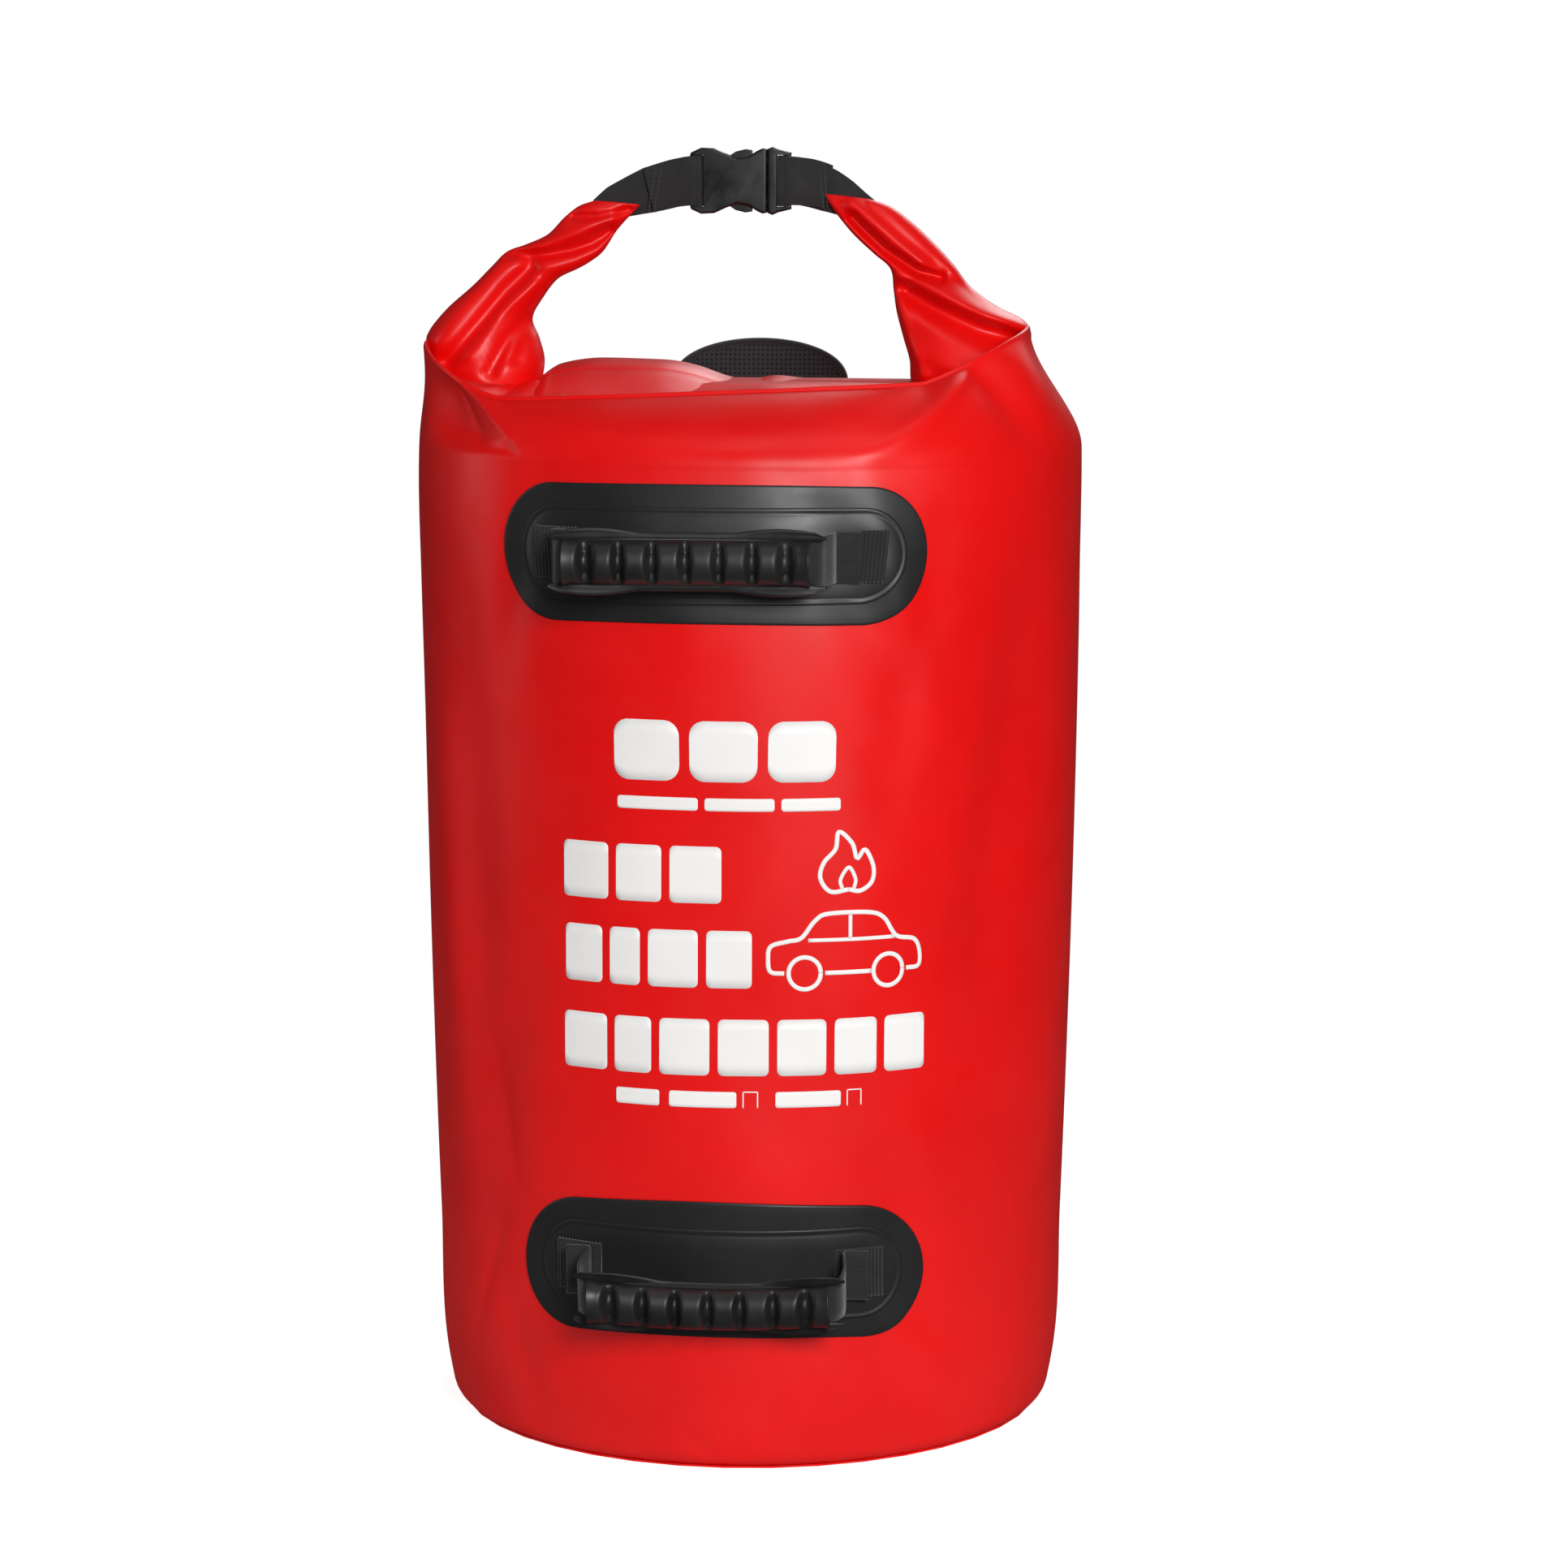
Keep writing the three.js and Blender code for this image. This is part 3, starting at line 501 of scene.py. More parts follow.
def make_skin():
    """One closed skin: base, wall, sloping shoulder, folded neckline and the top that dips to the roll."""
    columns = 336
    turn = np.linspace(-np.pi, np.pi, columns, endpoint=False)
    low = np.array([0.0, 0.4, 1.1, 2.2, 3.8, 5.8, 8.2, 11.0, 14.0])
    z = np.concatenate([low, np.arange(17.0, SHOULDER, 4.0), [SHOULDER]])
    body = wall(turn[None, :], z[:, None])

    # base: flat, in from the wall's foot to the middle
    foot = body[0]
    shares = np.array([0.002, 0.3, 0.6, 0.85, 0.97])
    base = foot[None] * shares[:, None, None] * np.array([1, 1, 0]) + np.array([0, 0, 0.35])
    base[..., 2] = np.where(shares > 0.9, 0.1, 0.35)[:, None]

    # shoulder: each line leaves the wall upwards and reaches the neckline leaning inwards
    top = body[-1]
    edge = rim(turn)
    reach = np.linalg.norm(edge - top, axis=1, keepdims=True)
    inward = np.stack([edge[:, 0] - top[:, 0], edge[:, 1] - top[:, 1], 0.25 * (edge[:, 2] - top[:, 2])], -1)
    inward /= np.maximum(np.linalg.norm(inward, axis=1, keepdims=True), 1e-6)
    ear = np.exp(-((np.abs(np.abs(np.degrees(turn)) - 90) / 20) ** 2))[:, None]
    leave = np.array([0, 0, 1]) * reach
    arrive = (inward * (1 - ear) + np.array([0, 0, 1]) * ear) * reach
    t = np.linspace(0, 1, 40)[1:, None, None]
    shoulder = (
        top * (1 + 2 * t) * (1 - t) ** 2
        + edge * t * t * (3 - 2 * t)
        + leave * 0.9 * t * (1 - t) ** 2
        - arrive * 0.9 * t * t * (1 - t)
    )
    outward = np.stack([np.sin(turn), -np.cos(turn), 0.55 + 0 * turn], -1)
    outward /= np.linalg.norm(outward, axis=1, keepdims=True)
    shoulder -= outward * corner_folds(turn[None, :], t[..., 0])[..., None] * (1 - t**8)

    # fold: a small round lip, then down inside and across to the roll
    centre = np.stack([np.clip(edge[:, 0], -150, 118) * 0.92, 0.22 * edge[:, 1], 634 + 0 * turn], -1)
    into = centre - edge
    into[:, 2] = 0
    into /= np.linalg.norm(into, axis=1, keepdims=True)
    lip = 2.6
    angle = np.radians([40, 80, 120, 160])[:, None, None]
    fold = edge + into * lip * (1 - np.cos(angle)) * 0.5 + np.array([0, 0, lip]) * np.sin(angle) * 0.8
    tuck = np.linspace(0, 1, 30)[1:, None, None]
    sink = 4 + 24 * ear
    start = fold[-1] - np.array([0, 0, 1]) * 1.5
    inner = start + (centre - start) * tuck
    inner[..., 2] -= (sink * np.sin(np.pi * np.clip(tuck * 1.05, 0, 1)) ** 0.8)[..., 0]
    ripple = np.sin(np.degrees(turn) * 0.21 + 1.0) + 0.6 * np.sin(np.degrees(turn) * 0.47)
    inner[..., 2] += 1.3 * ripple[None, :] * np.sin(np.pi * tuck[..., 0])
    rings = np.concatenate([base, body, shoulder, fold, inner])

    front = columns // 2
    along = lengths_along(rings[:, front])
    across = np.linspace(-np.pi, np.pi, columns + 1) * ROUND
    rows = len(rings)
    points = rings.reshape(-1, 3)
    points = np.concatenate([points, [[0, 0, 0.35]], [rings[-1].mean(0)]])
    ring = np.arange(columns)
    low_cap = np.stack([np.full(columns, rows * columns), (ring + 1) % columns, ring], -1)
    last = (rows - 1) * columns
    high_cap = np.stack([np.full(columns, rows * columns + 1), last + ring, last + (ring + 1) % columns], -1)
    places = np.concatenate([quad_places(rows, columns, True, along, across), np.zeros((6 * columns, 2))])
    faces = [quads(rows, columns, True), np.concatenate([low_cap, high_cap])]
    skin = new_piece("bag_skin", points, faces, RED_SHEET, places=places)
    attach(skin, "bag")
    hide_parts("bag_shell")


make_skin()


def on_wall(s, z, off, back=False):
    """Points off the wall along its normal, s millimetres towards +X from the front's or back's middle."""
    half_width = between(z, WALL[:, 0], WALL[:, 1])
    turn = np.pi - s / half_width if back else s / half_width
    round_it = wall(turn + 0.002, z) - wall(turn - 0.002, z)
    up_it = wall(turn, z + 0.4) - wall(turn, z - 0.4)
    normal = np.cross(round_it, up_it)
    normal /= np.linalg.norm(normal, axis=-1, keepdims=True)
    return wall(turn, z) + normal * np.asarray(off, float)[..., None]


# ---------------------------------------------------------------- shared shapes


def unit(vectors):
    return vectors / np.maximum(np.linalg.norm(vectors, axis=-1, keepdims=True), 1e-9)


def curve(stations, count):
    """Smooth values through rows of stations at even steps (Catmull-Rom), as count rows."""
    stations = np.asarray(stations, float)
    padded = np.concatenate([[2 * stations[0] - stations[1]], stations, [2 * stations[-1] - stations[-2]]])
    place = np.linspace(0, len(stations) - 1, count)
    k = np.minimum(place.astype(int), len(stations) - 2)
    t = (place - k)[:, None]
    a, b, c, d = padded[k], padded[k + 1], padded[k + 2], padded[k + 3]
    return 0.5 * (2 * b + (c - a) * t + (2 * a - 5 * b + 4 * c - d) * t**2 + (3 * b - a - 3 * c + d) * t**3)


def frames(path, across):
    """Direction along a path, the given width direction squared to it, and the third direction."""
    along = unit(np.gradient(path, axis=0))
    across = np.broadcast_to(np.asarray(across, float), path.shape)
    side = unit(across - along * np.sum(across * along, axis=1, keepdims=True))
    return along, side, np.cross(along, side)


def ribbon(name, path, width, thick, across, material):
    """A flat strap: a rounded flat section along a path. Its width and thickness may change on the way."""
    _, side, out = frames(path, across)
    deep = np.broadcast_to(np.asarray(thick, float), len(path))[:, None] / 2
    half = np.broadcast_to(np.asarray(width, float), len(path))[:, None] / 2
    place = np.array([-1, -0.96, -0.4, 0.4, 0.96, 1, 1, 0.96, 0.4, -0.4, -0.96, -1])
    level = np.array([-0.45, -1, -1, -1, -1, -0.45, 0.45, 1, 1, 1, 1, 0.45])
    rings = path[:, None] + (half * place)[..., None] * side[:, None]
    rings = rings + (deep * level)[..., None] * out[:, None]
    return closed_tube(name, rings, material)


def stadium_outline(count):
    """Round a stadium: place along its middle line (-1 to 1) and the direction out, for count points."""
    quarter = count // 4
    bend = np.linspace(-np.pi / 2, np.pi / 2, quarter, endpoint=False)
    straight = np.linspace(1, -1, quarter, endpoint=False)
    line = np.concatenate([np.ones(quarter), straight, -np.ones(quarter), -straight])
    angle = np.concatenate([bend, np.full(quarter, np.pi / 2), bend + np.pi, np.full(quarter, -np.pi / 2)])
    return line, np.cos(angle), np.sin(angle)


def wall_stadium(name, centre, length, height, profile, material, back=False, bow=None):
    """A rounded oval sheet lying on the wall. profile is rows of (distance in from the edge, height off the
    wall), from the middle underneath, out round the edge and in again on top. bow(s, v) moves it up."""
    line, out_s, out_z = stadium_outline(200)
    radius = height / 2
    inset, off = np.asarray(profile, float).T
    inset = np.minimum(inset, radius * 0.99)[:, None]
    s = centre[0] + line * (length / 2 - radius) + (radius - inset) * out_s
    z = centre[1] + (radius - inset) * out_z
    if bow is not None:
        z = z + bow(s - centre[0], (radius - inset) * out_z / radius)
    rings = on_wall(s, z, np.broadcast_to(off[:, None], s.shape), back)
    rows, columns = rings.shape[:2]
    quarter = columns // 4
    threes, fours = [], [quads(rows, columns, True)]
    for start in (0, (rows - 1) * columns):
        upper = start + np.arange(quarter, 2 * quarter + 1)
        lower = start + (-np.arange(quarter + 1)) % columns
        fours.append(np.stack([upper[:-1], upper[1:], lower[1:], lower[:-1]], -1))
        for first in (0, 2 * quarter):
            k = start + first + np.arange(1, quarter)
            threes.append(np.stack([np.full(len(k), start + first), k, k + 1], -1))
    faces = [np.concatenate(fours), np.concatenate(threes)]
    flat = np.stack(np.broadcast_arrays(s, z), -1).reshape(-1, 2)
    places = flat[np.concatenate([group.ravel() for group in faces])] * MM
    return new_piece(name, rings.reshape(-1, 3), faces, material, places=places)


def wall_rings(low, high, half_height, z, off, columns, rows, back=False, ribs=None):
    """Rings of a thin block on the wall from s low to high. Each ring goes up its outer face and down its
    inner one. half_height(s) shapes it, off is (inner, outer), and ribs(s, v) adds to its outer face."""
    s = low + (high - low) * (0.5 - 0.5 * np.cos(np.pi * np.linspace(0, 1, columns)))[:, None]
    v = np.linspace(-1, 1, rows)[None, :]
    tall = z + v * half_height(s)
    outer = off[1] + (ribs(s, v) if ribs else 0) + 0 * tall
    face = on_wall(s + 0 * tall, tall, outer, back)
    under = on_wall(s + 0 * tall, tall, off[0] + 0 * tall, back)
    return np.concatenate([face, under[:, ::-1]], 1)


def keep(piece, body, slot, *nodes):
    """The piece rides on its body and stands for its CAD nodes. slot is not used."""
    if body:
        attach(piece, body)
    if nodes:
        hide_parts(*nodes)
    return piece


# ---------------------------------------------------------------- finishes of the small parts


def woven_strap(name, dark, light, rib=1.3, depth=0.16):
    """Narrow webbing: cords along its length, crossed by finer picks, with a soft fibre sheen."""
    made = Finish(name, light, 0.78, Specular_IOR_Level=0.35, Sheen_Weight=0.25, Sheen_Roughness=0.5)
    cords = made.bands(rib, across="X")
    picks = made.bands(rib * 0.75, across="Y")
    weave = made.maths("MULTIPLY", cords, made.maths("ADD", made.maths("MULTIPLY", picks, 0.5), 0.5))
    # painted shade: the colour follows the weave's height, darker in the low places between the cords and
    # lighter on their crests, over a random uneven tone
    made.colour_between(made.maths("ADD", weave, made.noise(60, 4)), dark, light, 0.3, 1.3)
    made.roughness_between(made.noise(40, 4), 0.7, 0.88)
    made.bump(weave, depth, 0.9)
    made.bump(made.noise(900, 3), 0.05, 0.4)
    return made.material


def moulded(name, dark, light, roughness, grain, **sockets):
    """Moulded plastic or rubber: fine spark-eroded grain, slightly uneven gloss and dusty wear."""
    made = Finish(name, light, roughness, **sockets)
    made.colour_between(made.noise(35, 5), dark, light)
    made.roughness_between(made.noise(70, 4), roughness - 0.07, roughness + 0.09)
    made.bump(made.noise(1400, 2), grain, 0.5)
    made.bump(made.noise(90, 3), 0.12, 0.15)
    return made.material


def spacer_mesh(name, dark, light):
    """Air mesh: rows of small round holes knitted through a springy cloth."""
    made = Finish(name, light, 0.85, Specular_IOR_Level=0.3, Sheen_Weight=0.3)
    across = made.bands(3.0, source="Object", across="X")
    up = made.bands(3.0, source="Object", across="Z")
    slant = made.bands(2.1, source="Object", across="DIAGONAL")
    holes = made.maths("ADD", made.maths("MULTIPLY", across, up), made.maths("MULTIPLY", slant, 0.25))
    # painted shade: the holes are coloured darker than the knit, standing in for the shade inside them
    made.colour_between(holes, light, dark, 0.35, 0.8)
    made.roughness_between(made.noise(60, 4), 0.75, 0.92)
    made.bump(made.maths("MULTIPLY", holes, -1.0), 0.5, 0.9)
    made.bump(made.noise(700, 2), 0.08, 0.4)
    return made.material


BLACK_SHEET = coated_sheet(
    "black_coated_fabric", (0.010, 0.010, 0.011), (0.018, 0.018, 0.019), 0.42, 0.04, Specular_IOR_Level=0.42
)
BLACK_WEBBING = woven_strap("black_webbing", (0.004, 0.004, 0.0045), (0.016, 0.016, 0.017))
RED_WEBBING = woven_strap("red_webbing", (0.30, 0.008, 0.006), (0.55, 0.018, 0.012))
GRIP_RUBBER = moulded(
    "grip_rubber", (0.009, 0.009, 0.0095), (0.016, 0.016, 0.017), 0.46, 0.03, Specular_IOR_Level=0.45
)
BUCKLE_NYLON = moulded("buckle_nylon", (0.006, 0.006, 0.0065), (0.011, 0.011, 0.012), 0.36, 0.015)
AIR_MESH = spacer_mesh("air_mesh", (0.002, 0.002, 0.002), (0.022, 0.022, 0.024))
THREAD = woven_strap("black_thread", (0.008, 0.008, 0.009), (0.030, 0.030, 0.032), 0.4, 0.05)
WHITE_INK = coated_sheet("white_ink", (0.78, 0.77, 0.75), (0.86, 0.85, 0.84), 0.5, 0.03)
GLASS_CLOTH = coated_sheet(
    "glass_cloth", (0.34, 0.34, 0.31), (0.52, 0.51, 0.47), 0.68, 0.18, Specular_IOR_Level=0.4
)


def stitches(name, places, along, out, body, material, length=2.4, thick=0.7):
    """Short raised stitches, each a six-sided lozenge lying on the cloth at a place, along one direction."""
    places, along, out = (np.asarray(v, float).reshape(-1, 3) for v in (places, along, out))
    along, out = np.broadcast_to(unit(along), places.shape), np.broadcast_to(unit(out), places.shape)
    side = np.cross(along, out)
    reach = np.array([-0.5, -0.34, 0.34, 0.5]) * length
    fat = np.array([0.15, 0.5, 0.5, 0.15]) * thick
    turn = np.radians(np.arange(0, 360, 60))
    ring = fat[:, None, None] * np.stack([np.cos(turn), np.sin(turn)], -1)
    points = (
        places[:, None, None]
        + reach[None, :, None, None] * along[:, None, None]
        + ring[None, ..., 0:1] * side[:, None, None]
        + ring[None, ..., 1:2] * out[:, None, None]
    )
    count = len(places)
    one = quads(4, 6, True)
    first = (np.arange(count) * 24)[:, None, None]
    fours = (one[None] + first).reshape(-1, 4)
    caps = np.array([[5, 4, 3, 2, 1, 0], [18, 19, 20, 21, 22, 23]])
    sixes = (caps[None] + first).reshape(-1, 6)
    faces = [fours, sixes]
    flat = np.stack([points[..., 0], points[..., 2]], -1).reshape(-1, 2) * MM
    uv = flat[np.concatenate([group.ravel() for group in faces])]
    made = new_piece(name, points.reshape(-1, 3), faces, material, places=uv)
    if body:
        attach(made, body)
    return made


# ---------------------------------------------------------------- base and seam


def make_base_and_seam():
    """The welded floor keeps its packed discs; the seam tape follows the wall up the back."""
    for node in ("base_disc", "base_weld_ring"):
        finish_node(node, RED_SHEET)
    half = 10.0
    z = np.linspace(12, 588, 150)[:, None]
    s = 210 + half * np.array([-1, -0.96, -0.5, 0, 0.5, 0.96, 1, 1, 0.5, 0, -0.5, -1])[None]
    off = np.array([0.05, 0.6, 0.75, 0.75, 0.75, 0.6, 0.05, -0.4, -0.4, -0.4, -0.4, -0.4])[None]
    rings = on_wall(s + 0 * z, z + 0 * s, off + 0 * z, back=True)
    keep(closed_tube("seam_tape", rings, RED_SHEET), "bag", "red_sheet", "side_seam_tape")


def softened(node, name, ease, material, body, slot, flat=12.0):
    """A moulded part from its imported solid: corners joined, flat faces merged, real edges rounded off."""
    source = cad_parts[node]
    form = bmesh.new()
    form.from_mesh(source.data)
    bmesh.ops.remove_doubles(form, verts=form.verts, dist=0.01 * MM)
    bmesh.ops.dissolve_limit(form, angle_limit=np.radians(2), verts=form.verts, edges=form.edges)
    mesh = bpy.data.meshes.new(name)
    form.to_mesh(mesh)
    form.free()
    made = bpy.data.objects.new(name, mesh)
    bpy.context.collection.objects.link(made)
    mesh.materials.append(material)
    mesh.polygons.foreach_set("use_smooth", np.full(len(mesh.polygons), True))
    round_off = made.modifiers.new("round_off", "BEVEL")
    round_off.width = ease * MM
    round_off.segments = 3
    round_off.limit_method = "ANGLE"
    round_off.angle_limit = np.radians(flat)
    round_off.harden_normals = True
    return keep(made, body, slot, node)


def finish_node(node, material):
    """A carried-over CAD node gets a worked material."""
    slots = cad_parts[node].data.materials
    slots.clear()
    slots.append(material)


# ---------------------------------------------------------------- front handles

GRIP_HALF = 71.0  # half length of the grip's tube
LIP_HALF = 80.0  # half length of its two lips
GROOVE_PITCH = 19.2
GROOVE_DEPTH = 6.2
GRIP_RADIUS = 12.6
GRIP_OFF = 35.0  # how far the grip's tube stands out from the handle's hinge line
BOW_SPAN = 180.0


def bowed(x, bow):
    """How far a handle hangs below a straight line at x: half a wave, bow deep in the middle."""
    return bow * np.cos(np.pi * x / BOW_SPAN)


def grip_rings(bow):
    """The grip's tube: an arch over a flat bed, x along it, w up and n away from the bag. Its grooves are
    lenses, five for fingers and a wider one near each end: exp(-|x / width|^3) of the groove's depth, with
    a width that fades towards the lips. The tube's ends flare and are scooped in."""
    x = np.linspace(-GRIP_HALF, GRIP_HALF, 260)
    turn = np.radians(np.linspace(-8, 188, 44))
    near = np.clip(np.round(x / GROOVE_PITCH), -3, 3) * GROOVE_PITCH
    wide = np.where(np.abs(near) > 2.5 * GROOVE_PITCH, 4.2, 3.3)[:, None]
    lens = wide * np.sqrt(np.clip(np.sin(turn), 0.0, 1))[None]
    cut = np.exp(-(np.abs((x - near)[:, None] / np.maximum(lens, 0.05)) ** 3))
    groove = GROOVE_DEPTH * cut * rise(np.sin(turn), 0.12, 0.5)
    end = np.clip((np.abs(x) - GRIP_HALF + 7) / 7, 0, 1)[:, None]
    reach = GRIP_RADIUS + 1.2 * end**2 - groove
    w = reach * np.cos(turn)
    n = 2.4 + (reach - 1.4) * np.sin(turn)
    bed = np.linspace(-1, 1, 12)[1:-1][None]
    w = np.concatenate([w, GRIP_RADIUS * bed + 0 * end], 1)
    n = np.concatenate([n, -2.6 + 0 * bed + 0 * end], 1)
    x = x[:, None] + 0 * w
    w = w - bowed(x, bow)
    # each end is scooped: rings run on inwards, under the rim, to a small hollow bed
    rings = np.stack([x, w, n], -1)
    middle = np.stack([x[:, 0], -bowed(x[:, 0], bow), 3.2 + 0 * x[:, 0]], -1)[:, None]
    scoop = [(0.84, 0.0), (0.78, 5.0), (0.6, 8.0), (0.3, 9.0)]
    before = [middle[0] + (rings[0] - middle[0]) * k + np.array([d, 0, 0]) for k, d in scoop[::-1]]
    after = [middle[-1] + (rings[-1] - middle[-1]) * k - np.array([d, 0, 0]) for k, d in scoop]
    return np.concatenate([before, rings, after])


def lip_rings(side, bow, flare):
    """One lip: a thin leaf along the grip's edge that runs past each end and turns a little outwards."""
    x = LIP_HALF * signed_power(np.linspace(-1, 1, 120), 0.9)
    share = np.abs(x) / LIP_HALF
    inner = 11.5 + 1.5 * rise(share, 0.8, 1.0)
    outer = 17.0 + 2.6 * np.sin(np.pi * np.clip((share - 0.35) / 0.65, 0, 1))
    outer = outer - 1.8 * rise(share, 0.92, 1)
    inner = np.minimum(inner, outer - 1.6)
    turn = np.radians(np.arange(0, 360, 30))
    middle, half = (inner + outer) / 2, (outer - inner) / 2
    thick = 1.5 * (1 - 0.7 * rise(share, 0.8, 1.02)) + 0.35
    w = middle[:, None] + half[:, None] * np.cos(turn)
    n = -1.5 + flare * rise(share, 0.3, 1)[:, None] + thick[:, None] * np.sin(turn)
    n = n + 1.6 * (np.cos(turn) > 0.6) * rise(share, 0.1, 0.8)[:, None]
    sag = bowed(x, bow)[:, None]
    return np.stack([x[:, None] + 0 * w, side * w - sag, n], -1)


# A welded sheet's edge in section: distance in from the edge, height off the wall.
SHEET_EDGE = [(0.1, -0.4), (0, 0.2), (0.05, 0.9), (0.5, 1.35), (1.4, 1.45), (6, 1.4), (12, 1.35)]


def make_handle(name, middle, hinge, droop_degrees, bow, shift):
    """Two ovals welded to the bag, two sewn squares, the webbing that leaves them, and its rubber grip."""
    hinge = np.array(hinge)
    z = hinge[2]
    arch, spread = (1.3, 0.0) if droop_degrees == 0 else (3.4, 1.0)
    bow_edge = lambda s, v: (arch + spread * v) * np.cos((s - middle) / 60)
    profile = [(42, -0.4), (20, -0.4), (2, -0.4)] + SHEET_EDGE + [(20, 1.3), (41.6, 1.3)]
    piece = wall_stadium(name + "_patch_sheet", (middle, z), 256, 80, profile, BLACK_SHEET, bow=bow_edge)
    keep(piece, "bag", "black_sheet", name + "_patch")
    under = [(27, 0.6), (10, 0.6), (1, 0.6)]
    over = [(0, 1.2), (0.1, 1.9), (0.9, 2.35), (2.2, 2.2), (3.2, 1.75), (4.2, 1.95)]
    over += [(6, 2.3), (12, 2.35), (26.7, 2.35)]
    piece = wall_stadium(name + "_backing_sheet", (middle, z), 226, 56, under + over, BLACK_SHEET)
    keep(piece, "bag", "black_sheet", name + "_backing")
    ribs = lambda s, v: 0.42 * np.cos(2 * np.pi * s / 2.3) + 0.1 * np.sin(v * 60 + 9 * np.sin(s))
    for side, low, high in (("left", -100.0, -70.0), ("right", 70.0, 100.0)):
        edge = lambda s: 15 - 0.25 * np.cos(s * 2.7)
        rings = wall_rings(middle + low, middle + high, edge, z, (2.1, 4.0), 92, 30, ribs=ribs)
        piece = closed_tube(f"{name}_{side}_sewn_square", rings, BLACK_WEBBING)
        keep(piece, "bag", "black_webbing", f"{name}_{side}_anchor")

    def placed(rings, follow=1.0):
        """From the grip's own x, w and n into the frame, turned down by the droop about the hinge line."""
        angle = np.radians(droop_degrees) * follow
        x, w, n = rings[..., 0] + middle, rings[..., 1], rings[..., 2]
        y = hinge[1] - n * np.cos(angle) - w * np.sin(angle)
        return np.stack([x, y, hinge[2] - n * np.sin(angle) + w * np.cos(angle)], -1)

    # webbing: out of the square, up and over into the grip, and the same at the other end
    half = [(90, 1.6), (80, 2.2), (75.5, 4.2), (75.8, 9), (77.6, 15), (78.2, 21), (77, 27.5)]
    half = curve(half + [(73, 32.6), (66, 35), (52, 35.2)], 60)
    ends = np.concatenate([half * [-1, 1], half[::-1]])
    x, n = ends[:, 0], ends[:, 1]
    x = x + shift * rise(n, 4, 26)
    ends = np.stack([x, n], -1)
    along = unit(np.gradient(ends, axis=0))
    upper_face = np.array([(-15, 0), (-14.4, 0.6), (-7, 0.62), (7, 0.62), (14.4, 0.6)])
    section = np.concatenate([upper_face, -upper_face])
    sag = bowed(x, bow) * rise(n, 8, 32)
    w = section[None, :, 0] * (1 - 0.12 * rise(n, 20, 33))[:, None] - sag[:, None]
    rings = np.stack(
        [
            x[:, None] - along[:, 1:] * section[None, :, 1],
            w,
            n[:, None] + along[:, :1] * section[None, :, 1],
        ],
        -1,
    )
    rings = placed(rings, rise(n, 3, 22)[:, None])
    strap = closed_tube(name + "_strap", rings, BLACK_WEBBING)
    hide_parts(name + "_webbing")
    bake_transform(strap)

    seat = np.array([shift, 0, GRIP_OFF])
    body = grip_rings(bow) + seat
    lips = [lip_rings(side, bow * (1.25 if side > 0 else 0.8), 1.5) + seat for side in (1, -1)]
    parts = [tube(placed(part)) for part in (body, *lips)]
    keep(joined(name + "_rubber_grip", parts, GRIP_RUBBER), name, "grip_rubber", name + "_grip")


make_base_and_seam()
make_handle("top_handle", -11.0, (-11.0, -170.08, 545.0), 0.0, 0.0, -8.0)
make_handle("bottom_handle", -4.0, (-4.0, -180.68, 121.0), 12.0, 6.0, -2.0)


# ---------------------------------------------------------------- carry loop


def outline_at(points, count):
    """Even steps along a smooth line through points."""
    line = curve(points, 8 * count)
    length = lengths_along(line)
    even = np.linspace(0, length[-1], count)
    return np.stack([np.interp(even, length, line[:, k]) for k in range(line.shape[1])], -1)


def make_arm(name, node, stations, creases):
    """One twisted end of the rolled mouth. stations are rows of (outer x, outer z, inner x, inner z, depth
    along Y), and its section is a rounded flat oval. creases are (line of places in X and Z, width, depth,
    sharp, face)."""
    line = curve(stations, 150)
    outer, inner, deep = line[:, :2], line[:, 2:4], line[:, 4]
    count = 96
    turn = np.linspace(0, 2 * np.pi, count, endpoint=False)
    u = signed_power(np.cos(turn), 0.86)
    v = signed_power(np.sin(turn), 0.92)
    middle, half = (outer + inner) / 2, (inner - outer) / 2
    xz = middle[:, None] + u[None, :, None] * half[:, None]
    y = -v[None] * deep[:, None] / 2
    face = -np.sign(v)[None] * np.minimum(1, np.abs(v) * 1.4)[None]  # -1 is the front
    push = np.zeros(y.shape)
    for places, width, depth, sharp, side in creases:
        places = np.asarray(places, float)
        best = np.full(y.shape, 1e9)
        for start, end in zip(places[:-1], places[1:]):
            away, _, _ = segment_distance(xz[..., 0], xz[..., 1], start, end)
            best = np.minimum(best, away)
        shape = np.exp(-best / width) if sharp else np.exp(-((best / width) ** 2))
        weight = np.clip(-face if side < 0 else face, 0, 1)
        push += depth * shape * weight * (1 if side < 0 else -1)
    y = y + push
    rings = np.stack([xz[..., 0], y, xz[..., 1]], -1)
    shrink = np.linspace(0.86, 0.3, 5)
    tip = rings[-1].mean(0)
    ahead = (tip - rings[-12].mean(0)) * 0.012
    end = [tip + (rings[-1] - tip) * k + ahead * j for j, k in enumerate(shrink)]
    start = rings[0].mean(0)
    first = [start + (rings[0] - start) * k - np.array([0, 0, 0.8 * j]) for j, k in enumerate(shrink)][::-1]
    rings = np.concatenate([first, rings, end])
    piece = closed_tube(name, rings, RED_SHEET)
    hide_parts(node)
    return piece


